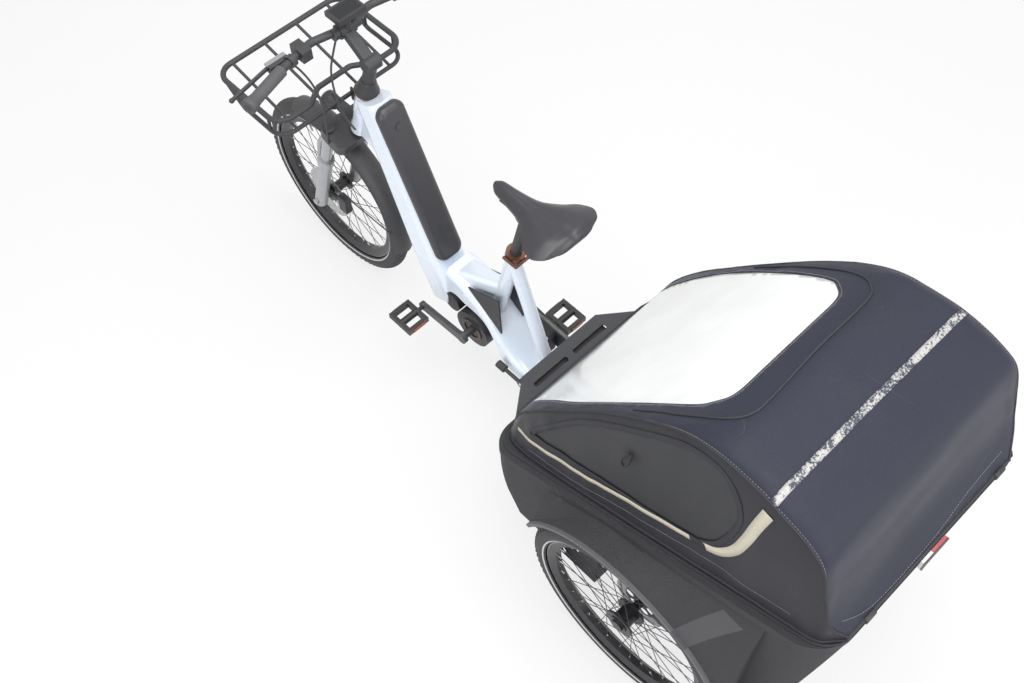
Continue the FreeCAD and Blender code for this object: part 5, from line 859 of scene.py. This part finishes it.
for wheel, centre, track, disc in (("front", FRONT_HUB, 0.0, 0.036),
        ("rear_left", REAR_HUB, REAR_TRACK, 0.05), ("rear_right", REAR_HUB, -REAR_TRACK, 0.05)):
    tyre(wheel, centre, track, tread_rubber("Tyre rubber " + wheel, centre))
    dress(wheel + "_rim", rim_black("Black rim " + wheel, centre))
    dress(wheel + "_spokes", spoke_steel("Dark spokes " + wheel, centre))
    dress(wheel + "_hub", hub_and_disc("Hub and disc " + wheel, centre, disc))
    valve(wheel, centre, track)


# Canopy: sections from the front hem to the rear hem, as ahead, half width and height

CANOPY_AHEAD = (536, 519, 482, 412, 316, 235, 76, 0, -54, -102, -178, -244, -308, -352, -386, -412, -454)
BASE_HALF = (252, 285, 305, 316, 320, 322, 324, 325, 325, 325, 325, 325, 326, 326, 326, 322, 285)
SEAM_HALF = (240, 262, 282, 287, 284, 281, 286, 290, 295, 298, 303, 308, 310, 314, 318, 318, 280)
SEAM_UP = (502, 526, 626, 738, 858, 954, 1118, 1178, 1204, 1214, 1216, 1206, 1186, 1156, 1064, 986, 914)
ROOF_HALF = (222, 238, 256, 264, 264, 262, 262, 262, 262, 264, 266, 268, 270, 276, 284, 288, 264)
ROOF_UP = (508, 535, 634, 744, 864, 958, 1124, 1188, 1218, 1230, 1234, 1224, 1200, 1168, 1068, 990, 917)
CROWN_UP = (0, 0, 0, 0, 0, 0, 0, 2, 6, 8, 8, 8, 8, 6, 2, 0, 0)
WINDOW_EDGE = ((422, 640), (309, 828), (216, 942), (60, 1098), (-17, 1158), (-82, 1176), (-132, 1156),
    (-164, 1104), (-170, 1040), (-146, 930), (-104, 866), (-72, 846), (196, 724), (361, 652))
SCREEN_EDGE = ((516, 186), (508, 208), (482, 237), (400, 250), (316, 255), (187, 242), (55, 219), (16, 194),
    (-4, 159), (-6, 80))
# The flat cut's width over half the roof, the seam strip and a side, and its points along the hems
ROOF_CUT, SEAM_CUT, SIDE_CUT = 262, 46, 330
SIDE_START = ROOF_CUT + SEAM_CUT
HALF_CUT = SIDE_START + SIDE_CUT
LONG_STEPS, WIDE_STEPS = 120, 100
# Pitch of the cut's triangles in millimetres, and walls of the finished sheets in metres
CLOTH_PITCH, FILM_PITCH = 12.0, 14.0
CLOTH_WALL, FILM_WALL, TAPE_WALL, HEM_WALL = 0.0016, 0.0008, 0.0008, 0.0012
# Hollows of the roof between its hoops: place ahead, reach and depth
ROOF_HOLLOWS = ((-185, 90, 5.0), (-396, 30, 2.5))
# The tub's rim: its height at the front, its rise to the rear, its straight run, half width and corner
RIM_FRONT, RIM_FRONT_UP, RIM_SLOPE = 545, 467, 0.4417
RIM_STRAIGHT, RIM_INNER, RIM_CORNER = (-390, 465), 265, 72
# The hem's section over the rim, as shares of the way out and heights
HEM_SECTION = ((0.0, 2.0), (0.4, 4.5), (0.8, 4.5), (1.0, 2.5))


def smooth_table(knots, values):
    """A smooth rule through a table that never overshoots it."""
    runs = [b - a for a, b in zip(knots, knots[1:])]
    slopes = [(b - a) / run for a, b, run in zip(values, values[1:], runs)]
    tangents = [slopes[0]]
    for a, b in zip(slopes, slopes[1:]):
        tangents.append(0.0 if a * b <= 0 else 2 * a * b / (a + b))
    tangents.append(slopes[-1])

    def read(at):
        i = min(max(bisect.bisect_right(knots, at) - 1, 0), len(runs) - 1)
        run = runs[i]
        t = held((at - knots[i]) / run)
        return ((2 * t ** 3 - 3 * t * t + 1) * values[i] + (t ** 3 - 2 * t * t + t) * run * tangents[i]
            + (3 * t * t - 2 * t ** 3) * values[i + 1] + (t ** 3 - t * t) * run * tangents[i + 1])

    return read


def roof_lengths():
    """How far each section lies along the roof from the front hem."""
    found = [0.0]
    for i in range(1, len(CANOPY_AHEAD)):
        found.append(found[-1] + math.hypot(CANOPY_AHEAD[i] - CANOPY_AHEAD[i - 1],
            ROOF_UP[i] - ROOF_UP[i - 1]))
    return found


LENGTHS = roof_lengths()
CANOPY_LONG = LENGTHS[-1]
AHEAD, BASE, SEAM_Y, SEAM_Z, ROOF_Y, ROOF_Z, CROWN = [smooth_table(LENGTHS, table)
    for table in (CANOPY_AHEAD, BASE_HALF, SEAM_HALF, SEAM_UP, ROOF_HALF, ROOF_UP, CROWN_UP)]


def rim_up(x):
    return RIM_FRONT_UP + RIM_SLOPE * (RIM_FRONT - x)


def canopy_at(along, across, lift=0.0):
    """A point of the canopy. Across is 0 in the middle, 1 at the roof's edge, 2 at the seam, 3 at the hem."""
    x = AHEAD(along)
    half = abs(across)
    knots_y = (0.0, ROOF_Y(along), SEAM_Y(along), BASE(along))
    knots_z = (ROOF_Z(along) + CROWN(along), ROOF_Z(along), SEAM_Z(along), rim_up(x) + 1)
    runs = [max(math.hypot(knots_y[i + 1] - knots_y[i], knots_z[i + 1] - knots_z[i]), 1.0) for i in range(3)]
    marks = (0.0, runs[0], runs[0] + runs[1], runs[0] + runs[1] + runs[2])
    whole = min(int(half), 2)
    way = marks[whole] + (half - whole) * runs[whole]
    y = smooth_table(marks, knots_y)(way)
    z = smooth_table(marks, knots_z)(way)
    point = Vector((x, math.copysign(y, across), z))
    if lift:
        point += lift * canopy_normal(along, across)
    return point


def canopy_normal(along, across):
    step = 3.0
    ahead = canopy_at(max(along - step, 0), across) - canopy_at(min(along + step, CANOPY_LONG), across)
    slide = 0.02
    left = canopy_at(along, min(across + slide, 3)) - canopy_at(along, max(across - slide, -3))
    return ahead.cross(left).normalized()


def cloth_spot(along, across, lift=0.0):
    return spot(*canopy_at(along, across, lift))


def search(rule, goal, low, high):
    """The place between two limits where a steady rule reaches a goal."""
    rising = rule(high) > rule(low)
    for _ in range(40):
        middle = (low + high) / 2
        if (rule(middle) < goal) == rising:
            low = middle
        else:
            high = middle
    return (low + high) / 2


def along_at(x):
    return search(AHEAD, x, 0.0, CANOPY_LONG)


def side_place(x, z, side=1):
    """Where a side point lies on the canopy, from its distance ahead and its height."""
    along = along_at(x)
    return along, side * search(lambda a: canopy_at(along, a).z, z, 2.0, 3.0)


def top_place(x, y):
    """Where a roof point lies on the canopy, from its distance ahead and to the side."""
    along = along_at(x)
    return along, math.copysign(search(lambda a: canopy_at(along, a).y, abs(y), 0.0, 2.0), y)


def through(points, per_side):
    """The stretch of a smooth line between the middle two of four points."""
    a, b, c, d = (Vector(p) for p in points)
    made = []
    for j in range(per_side):
        t = j / per_side
        made.append(tuple(0.5 * (2 * b + (c - a) * t + (2 * a - 5 * b + 4 * c - d) * t * t
            + (3 * b - a - 3 * c + d) * t ** 3)))
    return made


def round_loop(points, per_side=6):
    """A closed line that passes smoothly through points."""
    count = len(points)
    return [p for i in range(count) for p in through([points[(i + k) % count] for k in (-1, 0, 1, 2)],
        per_side)]


def smooth_line(points, per_side=8):
    """An open line that passes smoothly through points."""
    ends = [points[0], *points, points[-1]]
    return [p for i in range(len(points) - 1) for p in through(ends[i:i + 4], per_side)] + [points[-1]]


def shrunk(loop, by):
    """A closed flat line drawn in by a distance, or let out where it is negative."""
    count = len(loop)
    area = sum(ax * by - bx * ay for (ax, ay), (bx, by) in zip(loop, loop[1:] + loop[:1]))
    made = []
    for i in range(count):
        run = Vector(loop[(i + 1) % count]) - Vector(loop[i - 1])
        inward = Vector((-run.y, run.x)).normalized() * (1 if area > 0 else -1)
        made.append(tuple(Vector(loop[i]) + inward * by))
    return made


def window_loop(by, side):
    return [side_place(x, z, side) for x, z in shrunk(round_loop(WINDOW_EDGE), by)]


def screen_loop(by):
    whole = [*SCREEN_EDGE, (SCREEN_EDGE[-1][0], 0)] + [(x, -y) for x, y in reversed(SCREEN_EDGE)]
    return [top_place(x, y) for x, y in shrunk(round_loop(whole), by)]


def flat(place):
    """A canopy place on the flat cut, in millimetres."""
    along, across = place
    half = abs(across)
    width = ROOF_CUT * min(half, 1) + SEAM_CUT * held(half - 1) + SIDE_CUT * max(half - 2, 0)
    return along, math.copysign(width, across)


def unflat(point):
    along, width = point
    half = abs(width)
    across = min(half / ROOF_CUT, 1) + held((half - ROOF_CUT) / SEAM_CUT) + max(half - SIDE_START,
        0) / SIDE_CUT
    return min(max(along, 0), CANOPY_LONG), math.copysign(min(across, 3), width)


def inside(point, loop):
    hit = False
    for (ax, ay), (bx, by) in zip(loop, loop[1:] + loop[:1]):
        if (ay > point[1]) != (by > point[1]) and point[0] < ax + (bx - ax) * (point[1] - ay) / (by - ay):
            hit = not hit
    return hit


def near(point, loops, reach):
    return any((point[0] - x) ** 2 + (point[1] - y) ** 2 < reach * reach for loop in loops for x, y in loop)


# Shares of the pitch of a cloth's triangles: their height, and the room that they leave along edges
TRIANGLE_HIGH, EDGE_ROOM = 0.866, 0.55


def cut_cloth(outline, holes, pitch):
    """A flat sheet inside an outline and outside its holes, in triangles of about one size."""
    loops = [outline, *holes]
    points, edges = [], []
    for loop in loops:
        first = len(points)
        points += [Vector(p) for p in loop]
        edges += [(first + i, first + (i + 1) % len(loop)) for i in range(len(loop))]
    xs, ys = [p[0] for p in outline], [p[1] for p in outline]
    rise = pitch * TRIANGLE_HIGH
    for j in range(int((max(ys) - min(ys)) / rise) + 1):
        y = min(ys) + rise * j
        for i in range(int((max(xs) - min(xs)) / pitch) + 1):
            p = (min(xs) + pitch * (i + 0.5 * (j % 2)), y)
            if not inside(p, outline) or any(inside(p, hole) for hole in holes) or near(p, loops,
                    EDGE_ROOM * pitch):
                continue
            points.append(Vector(p))
    made, _, faces, *_ = delaunay_2d_cdt(points, edges, [], 0, 1e-4)
    kept = []
    for face in faces:
        middle = sum((made[k] for k in face), Vector((0, 0))) / len(face)
        if inside(middle, outline) and not any(inside(middle, hole) for hole in holes):
            kept.append(tuple(face))
    return made, kept


def sewn(name, flat_points, faces, lift, sag, finish, body):
    """Hangs a flat cut on the canopy's form and keeps the cut as its texture map."""
    places = [unflat(p) for p in flat_points]
    points = [cloth_spot(along, across, lift + sag(along, across)) for along, across in places]
    piece = mesh_piece(name, points, faces, finish, body)
    layer = piece.data.uv_layers.new(name="Flat cut")
    for loop in piece.data.loops:
        p = flat_points[loop.vertex_index]
        layer.data[loop.index].uv = (p.x / 1000, p.y / 1000)
    solid = bmesh.new()
    solid.from_mesh(piece.data)
    bmesh.ops.recalc_face_normals(solid, faces=solid.faces)
    top = max(solid.faces, key=lambda face: face.calc_center_median().z)
    if top.normal.z < 0:
        bmesh.ops.reverse_faces(solid, faces=solid.faces)
    solid.to_mesh(piece.data)
    solid.free()
    return piece


def cloth_sag(along, across):
    """How far the cloth stands out from its form: slack between the hoops, puckers by the seams."""
    half = abs(across)
    x = AHEAD(along)
    roof = max(0.0, 1 - (half / 1.2) ** 2)
    slack = -roof * sum(depth * math.exp(-((x - place) / reach) ** 2) for place, reach, depth in ROOF_HOLLOWS)
    wrinkle = noise.noise(Vector((along / 60, across * 1.7, 0.0))) * 2.2
    edge = math.exp(-((half - 2) / 0.12) ** 2)
    pucker = 0.8 * math.sin(along / 9.0) * edge * noise.noise(Vector((along / 80, 3.0, 0.0)))
    side = 3.0 * math.sin(math.pi * held(half - 2)) * noise.noise(Vector((along / 130, 7.0, across)))
    hem = held((3 - half) / 0.08) * min(1.0, along / 12) * min(1.0, (CANOPY_LONG - along) / 20)
    return (slack + wrinkle * (1 - edge) + pucker + side) * hem


def canopy():
    """The coated cloth, cut flat with its three window holes and hung on the hoops."""
    outline = [(CANOPY_LONG * i / LONG_STEPS, -HALF_CUT) for i in range(LONG_STEPS)]
    outline += [(CANOPY_LONG, -HALF_CUT + 2 * HALF_CUT * i / WIDE_STEPS) for i in range(WIDE_STEPS)]
    outline += [(CANOPY_LONG * (1 - i / LONG_STEPS), HALF_CUT) for i in range(LONG_STEPS)]
    outline += [(0.0, HALF_CUT - 2 * HALF_CUT * i / WIDE_STEPS) for i in range(WIDE_STEPS)]
    holes = [[flat(p) for p in loop] for loop in (screen_loop(-1.5), window_loop(9, 1), window_loop(9, -1))]
    points, faces = cut_cloth(outline, holes, CLOTH_PITCH)
    cloth = sewn("canopy_sheet", points, faces, 0.0, cloth_sag, CANOPY_CLOTH, "cargo_body")
    thicken(cloth, CLOTH_WALL)
    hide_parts("canopy")
    return cloth


def screen():
    """The clear film of the windscreen, which bellies in a little."""
    loop = [flat(p) for p in screen_loop(0)]
    points, faces = cut_cloth(loop, [], FILM_PITCH)

    def belly(along, across):
        return -3.0 * max(0.0, 1 - (across / 0.9) ** 2) * math.sin(math.pi * held(along / 840))

    film = sewn("window_film", points, faces, -0.5, belly, CLEAR_FILM, "windscreen_flap")
    thicken(film, FILM_WALL)
    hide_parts("windscreen")
    return film


def side_mesh(side, word):
    """The sun mesh of a side window."""
    loop = [flat(p) for p in window_loop(0, side)]
    points, faces = cut_cloth(loop, [], CLOTH_PITCH)
    mesh = sewn(word + "_window_mesh", points, faces, -2.6, cloth_sag, MESH_CLOTH, "cargo_body")
    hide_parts("side_windows")
    return mesh


CANOPY = canopy()
SCREEN = screen()
SIDE_MESHES = [side_mesh(*which) for which in SIDES]


# What is sewn on the canopy

def on_cloth(places, lift):
    """Points just above the cloth at places on it."""
    return [canopy_at(along, across, lift + cloth_sag(along, across)) for along, across in places]


def piping(name, places, radius=2.6, lift=1.2, finish=PIPING_CLOTH):
    """A round cord sewn into a seam."""
    points = [spot(*p) for p in on_cloth(places, lift)]
    return cord_piece(name, points, radius / 1000, finish, "cargo_body", "canopy_cloth", steps=3, sides=2)


def ribbon(name, places, first, last, finish, lift=1.5):
    """A flat tape sewn along a line of the cloth, from its first width to its last."""
    middle = on_cloth(places, lift)
    ends = len(places) - 1
    points = []
    for i, (along, across) in enumerate(places):
        run = middle[min(i + 1, ends)] - middle[max(i - 1, 0)]
        half = run.cross(canopy_normal(along, across)).normalized() * (first + (last - first) * i / ends) / 2
        points += [spot(*(middle[i] - half)), spot(*(middle[i] + half))]
    strip = mesh_piece(name, points, grid_faces(len(places), 2), finish, "cargo_body")
    return thicken(strip, TAPE_WALL)


def stitch_row(name, places, pitch=7.0, long=4.4):
    """A row of short raised threads along a line of the cloth."""
    line = on_cloth(places, 0.3)
    points, faces, done = [], [], pitch
    for i in range(len(line) - 1):
        run = line[i + 1] - line[i]
        up = canopy_normal(*places[i])
        side = run.cross(up).normalized()
        while done < run.length:
            middle = line[i] + run.normalized() * done
            start = len(points)
            for rise in (0.0, 0.7):
                for u, v in BLOCK_CORNERS:
                    shrink = 1 - 0.25 * rise
                    along = run.normalized() * (u * long / 2 * shrink)
                    points.append(spot(*(middle + along + side * (v * 0.6 * shrink) + up * rise)))
            faces += block_faces(start)
            done += pitch
        done -= run.length
    return mesh_piece(name, points, faces, THREAD, "cargo_body")


def seam_line(across, inset=0.0):
    return [(inset + (CANOPY_LONG - 2 * inset) * i / 110, across) for i in range(111)]


def side_line(points, side):
    return [side_place(x, z, side) for x, z in smooth_line(points)]


def roof_line(points):
    return [top_place(x, y) for x, y in smooth_line(points)]


# Tapes of one side: name, line as ahead and height, first and last width, finish and lift
TAPES = (
    ("_cream_tape", ((479, 570), (362, 623), (230, 685), (110, 752), (10, 806), (-78, 848)), 12, 15,
     CREAM_TAPE, 1.5),
    ("_tape_joint", ((-76, 847), (-96, 858), (-118, 870)), 15, 18, PIPING_CLOTH, 1.9),
    ("_wide_tape", ((-116, 869), (-152, 900), (-180, 957), (-195, 1030), (-205, 1114), (-214, 1176)), 22, 28,
     CREAM_TAPE, 1.5),
)
HEM_THREADS = ((427, 552), (285, 608), (125, 696), (-11, 766), (-126, 824), (-186, 848), (-267, 876),
    (-343, 911))
ROOF_PIPING = ((252, -270), (95, -259), (-1, -244), (-43, -219), (-60, -174), (-62, -3), (-70, 150),
    (-66, 192), (-47, 219), (-8, 240), (60, 254), (160, 264))
REAR_THREADS = ((-425, 288), (-446, 200), (-447, 0), (-436, -138), (-432, -262))
WINDOW_PULL = ((118, 946, 0), (112, 936, 7), (116, 906, 10), (126, 890, 8), (136, 902, 9), (130, 932, 9),
    (122, 948, 2))
SILVER_TAPE_AHEAD = -214


def side_trim(side, word):
    """The seam, tapes, threads, window binding and hem of one side."""
    window = window_loop(3, side)
    made = [hem_band(side, word), piping(word + "_seam_piping", seam_line(side * 2.0))]
    made.append(piping(word + "_hem_roll", seam_line(side * 2.985), 4.5, 0.0))
    for label, line, first, last, finish, lift in TAPES:
        made.append(ribbon(word + label, side_line(line, side), first, last, finish, lift))
    made.append(ribbon(word + "_window_binding", window + window[:1], 15, 15, PIPING_CLOTH, 1.2))
    made.append(stitch_row(word + "_hem_threads", side_line(HEM_THREADS, side)))
    made.append(stitch_row(word + "_seam_threads", seam_line(side * 1.86, 30.0)))
    return made


def rim_half(x):
    """Half the width over the middle of the tub's rim, which is round at its corners."""
    past = max(x - RIM_STRAIGHT[1], RIM_STRAIGHT[0] - x, 0)
    return RIM_INNER + math.sqrt(max(RIM_CORNER ** 2 - past ** 2, 0))


def hem_band(side, word):
    """The strip of cloth from the canopy's hem out over the rim of the tub."""
    places = seam_line(side * 3.0)
    points = []
    for along, across in places:
        edge = canopy_at(along, across)
        room = rim_half(edge.x) - abs(edge.y)
        for share, rise in HEM_SECTION:
            points.append(spot(edge.x, side * (abs(edge.y) + room * share), rim_up(edge.x) + rise))
    faces = grid_faces(len(places), len(HEM_SECTION))
    strip = mesh_piece(word + "_hem_band", points, faces, PIPING_CLOTH, "cargo_body")
    return thicken(strip, HEM_WALL)


def window_pull(side, word):
    """The small loop of webbing on a side window."""
    line = [spot(*canopy_at(*side_place(x, z, side), lift)) for x, z, lift in WINDOW_PULL]
    return cord_piece(word + "_window_pull", line, 0.003, PIPING_CLOTH, "cargo_body", "canopy_cloth",
        steps=5, sides=2)


def rear_clip(word, y):
    """A dark clip that holds the rear hem down."""
    middle = spot(-456, y, 917)
    points = [middle + Vector((u * 0.006, v * 0.016, w * 0.009)) for u in (-1, 1) for v in (-1, 1)
        for w in (-1, 1)]
    faces = [(0, 1, 3, 2), (4, 6, 7, 5), (0, 4, 5, 1), (2, 3, 7, 6), (0, 2, 6, 4), (1, 5, 7, 3)]
    clip = mesh_piece(word + "_hem_clip", points, faces, BLACK_PLASTIC, "cargo_body")
    edge = clip.modifiers.new("Rounded edges", "BEVEL")
    edge.width, edge.segments = 0.003, 3
    bpy.context.view_layer.update()
    return sharpen(settle(clip))


def canopy_trim():
    """All that is sewn or clipped on the canopy."""
    made = [piece for which in SIDES for piece in side_trim(*which)]
    made += [window_pull(*which) for which in SIDES] + [rear_clip("left", 217), rear_clip("right", -239)]
    made.append(piping("roof_piping", roof_line(ROOF_PIPING)))
    across = [(along_at(SILVER_TAPE_AHEAD), 1.94 - 4.86 * i / 80) for i in range(81)]
    made.append(ribbon("roof_silver_tape", across, 17, 17, SILVER_TAPE))
    made.append(stitch_row("rear_threads", roof_line(REAR_THREADS)))
    for name, along, radius in (("rear_hem_roll", CANOPY_LONG - 3, 4.5), ("front_hem_roll", 3, 3.5)):
        made.append(piping(name, [(along, 2.97 - 5.94 * i / 100) for i in range(101)], radius, 0.0))
    film = screen_loop(-7)
    made.append(stitch_row("window_threads", film + film[:1], 6.0, 3.6))
    return made


canopy_trim()


# Saddle and cushions

SADDLE_NOSE, SADDLE_LONG, SADDLE_UP = 857, 270, 953
PAD_GRID, PAD_PRESSURE, PAD_STEPS = 0.006, 4.0, 20
PAD_SEAM_DEPTH, PAD_SEAM_REACH = 0.008, 0.011
# Half width, crown, edge and skirt of the saddle, at shares of its length from the nose
SADDLE_SHARES = (0.0, 0.05, 0.2, 0.42, 0.58, 0.72, 0.84, 0.95, 1.0)
SADDLE_SIZES = [smooth_table(SADDLE_SHARES, table) for table in ((11, 20, 25, 38, 66, 98, 108, 92, 62),
    (14, 22, 26, 28, 32, 38, 43, 44, 38), (2, 2, 2, 3, 5, 10, 16, 22, 24),
    (4, 14, 20, 24, 24, 22, 18, 12, 8))]


def saddle_ring(share, scale=1.0, push=0.0):
    """One section of the saddle: a crowned top with two pads and a channel, and a flat underside."""
    half, top, edge, skirt = [rule(held(share)) for rule in SADDLE_SIZES]
    rear = held((share - 0.38) / 0.3) * held((1.02 - share) / 0.15)
    groove = held((share - 0.18) / 0.15) * min(1, (1.03 - share) / 0.1)
    made = []
    for j in range(41):
        u = math.sin(math.radians(-90 + 4.5 * j))
        pads = 2.2 * rear * math.exp(-((abs(u) - 0.46) / 0.2) ** 2)
        channel = 3.4 * groove * math.exp(-(u / 0.1) ** 2)
        made.append((half * u, edge + (top - edge) * (1 - abs(u) ** 2.3) + pads - channel))
    for t in (0.35, 0.7):
        made.append((half * (1 - 0.04 * t - 0.14 * t * t), edge - skirt * t))
    for u in (0.82, 0.4, 0.0, -0.4, -0.82):
        made.append((half * u, edge - skirt))
    for t in (0.7, 0.35):
        made.append((-half * (1 - 0.04 * t - 0.14 * t * t), edge - skirt * t))
    middle = (top + edge - skirt) / 2
    x = SADDLE_NOSE - SADDLE_LONG * share + push
    return [spot(x, y * scale, SADDLE_UP + middle + (z - middle) * scale) for y, z in made]


def saddle():
    rings = [saddle_ring(0, 0.3, 5.0), saddle_ring(0, 0.66, 3.8), saddle_ring(0, 0.88, 2.0)]
    rings += [saddle_ring(i / 60) for i in range(61)]
    rings += [saddle_ring(1, scale, -push) for scale, push in ((0.95, 2.2), (0.84, 4.8), (0.66, 7.0),
        (0.42, 8.6), (0.16, 9.4))]
    points = [p for ring in rings for p in ring]
    row = len(rings[0])
    faces = grid_faces(len(rings), row, closed=True)
    faces += [tuple(reversed(range(row))), tuple(range((len(rings) - 1) * row, len(rings) * row))]
    cover = mesh_piece("saddle_cover", points, faces, SADDLE_COVER, "seat")
    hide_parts("saddle")
    return cover


def cushion(name, low, high, seams, place, cap):
    """A pad blown up inside its cover, then sewn down along its seams and set in its place."""
    solid = bmesh.new()
    bmesh.ops.create_cube(solid, size=1.0)
    for vert in solid.verts:
        vert.co = Vector(low) + (vert.co + Vector((0.5, 0.5, 0.5))) * (Vector(high) - Vector(low))
    mesh = bpy.data.meshes.new(name)
    solid.to_mesh(mesh)
    solid.free()
    pad = placed(name, mesh)
    grid = pad.modifiers.new("Even grid", "REMESH")
    grid.mode, grid.voxel_size = "VOXEL", PAD_GRID
    bpy.context.view_layer.update()
    settle(pad)
    start = [vert.co.copy() for vert in pad.data.vertices]
    filling = pad.modifiers.new("Filling", "CLOTH")
    filling.settings.use_pressure = True
    filling.settings.uniform_pressure_force = PAD_PRESSURE
    filling.settings.effector_weights.gravity = 0.0
    for step in range(1, PAD_STEPS + 1):
        bpy.context.scene.frame_set(step)
    settle(pad)
    bpy.context.scene.frame_set(1)
    for vert, was in zip(pad.data.vertices, start):
        move = vert.co - was
        if move.length > cap:
            vert.co = was + move.normalized() * cap
        vert.co.z = max(vert.co.z, low[2])
        for across in seams:
            if vert.co.z > (low[2] + high[2]) / 2:
                vert.co.z -= PAD_SEAM_DEPTH * math.exp(-((vert.co.y - across) / PAD_SEAM_REACH) ** 2)
    mesh = pad.data
    mesh.transform(place)
    mesh.materials.append(CUSHION_CLOTH)
    mesh.polygons.foreach_set("use_smooth", [True] * len(mesh.polygons))
    subdivide(pad)
    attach(pad, "cargo_body")
    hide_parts("bench_cushions")
    return pad


def bench():
    seat = Matrix.Translation(spot(0, 0, 420.6))
    cushion("seat_cushion", (-0.224, -0.284, 0.0), (0.084, 0.284, 0.058), (0.0, 0.142, -0.142),
        seat, 0.012)
    back = Matrix.Translation(spot(-287, 0, 638)) @ Matrix.Rotation(math.radians(76), 4, "Y")
    cushion("back_cushion", (-0.2, -0.272, -0.058), (0.2, 0.272, -0.01), (0.0, 0.135, -0.135),
        back, 0.01)


saddle()
bench()


# Small things round the frame

RING_RADIUS, RING_STEPS = 0.0335, 32


def slot_shade_sheet():
    """A dark sheet below the slots of the step plate: painted shade that makes the slots show dark."""
    corners = [spot(x, y, 450) for x, y in ((556, -143), (604, -143), (604, 143), (556, 143))]
    sheet = mesh_piece("slot_shade_sheet", corners, [(0, 1, 2, 3)], BLACK_PLASTIC, "cargo_body",
        False)
    return thicken(sheet, 0.002)


def headset_ring():
    """The thin ring between the head tube and the cone of the stem."""
    ahead = Vector((math.sin(STEER_LEAN), 0, math.cos(STEER_LEAN)))
    left = Vector((0, 1, 0))
    turns = [math.tau * i / RING_STEPS for i in range(RING_STEPS)]
    loop = [spot(*STEER_TOP) + RING_RADIUS * (math.cos(turn) * ahead + math.sin(turn) * left)
        for turn in turns]
    return cord_piece("headset_ring", loop, 0.0018, COPPER, "front_frame", "copper_anodised", closed=True,
        steps=3)


def twisting_chain():
    """The chain as a piece of its own, in place of the frame's chain, with crisp edges."""
    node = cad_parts["drive_chain"]
    mesh = node.data.copy()
    mesh.transform(node.matrix_world)
    chain = piece_from("twisting_chain", mesh, OILED_STEEL, None)
    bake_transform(chain)
    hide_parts("drive_chain")
    return sharpen(chain)


# The dark sheet under the plate's slots is painted shade.
slot_shade_sheet()
headset_ring()
twisting_chain()


# Studio

FLOOR_HALF, FLOOR_DOWN = 20, 0.0005


def seen_rays(tree):
    """1 for what the camera sees, straight on or by way of shiny and clear surfaces."""
    rays = put(tree, "LightPath").outputs
    bent = calc(tree, "MAXIMUM", rays["Is Glossy Ray"], rays["Is Transmission Ray"])
    return calc(tree, "MAXIMUM", rays["Is Camera Ray"], bent)


def floor_finish():
    """Pale floor that keeps the shadow and shows white to the camera and to shiny surfaces."""
    finish, tree, surface = start_finish("Pale studio floor", Base_Color=(0.86, 0.86, 0.87, 1), Roughness=0.9)
    white = put(tree, "Emission", {"Color": (1, 1, 1, 1), "Strength": 1.0}).outputs[0]
    share = times(tree, seen_rays(tree), 0.72)
    both = put(tree, "MixShader", {0: share, 1: surface.outputs[0], 2: white}).outputs[0]
    tree.links.new(both, tree.nodes["Material Output"].inputs["Surface"])
    return finish


def studio():
    """Floor, pale surroundings and three softboxes."""
    floor = bpy.data.meshes.new("Studio floor")
    floor.from_pydata([(FLOOR_HALF * u, FLOOR_HALF * v, 0) for u, v in BLOCK_CORNERS], [], [(0, 1, 2, 3)])
    floor.materials.append(floor_finish())
    ground = placed("studio_floor", floor)
    ground.location.z = -FLOOR_DOWN
    world = bpy.data.worlds.new("Studio light")
    bpy.context.scene.world = world
    world.use_nodes = True
    tree = world.node_tree
    strength = spread(tree, seen_rays(tree), 0.0, 1.0, 0.5, 1.0)
    glow = tree.nodes["Background"]
    glow.inputs["Color"].default_value = (1, 1, 1, 1)
    tree.links.new(strength, glow.inputs["Strength"])
    for name, place, aim, size, power in (("Top softbox", (-0.4, 0.2, 4.2), (0, 0, 0.5), 3.4, 130),
            ("Left softbox", (-1.6, 4.0, 2.4), (0, 0, 0.6), 2.6, 60),
            ("Rear softbox", (-4.2, -0.6, 2.6), (-0.6, 0, 0.7), 2.2, 70)):
        lamp = bpy.data.lights.new(name, "AREA")
        lamp.energy, lamp.size = power, size
        holder = placed(name, lamp)
        holder.location = place
        holder.rotation_euler = (Vector(aim) - Vector(place)).to_track_quat("-Z", "Y").to_euler()
    bpy.context.scene.view_settings.view_transform = "Standard"


studio()
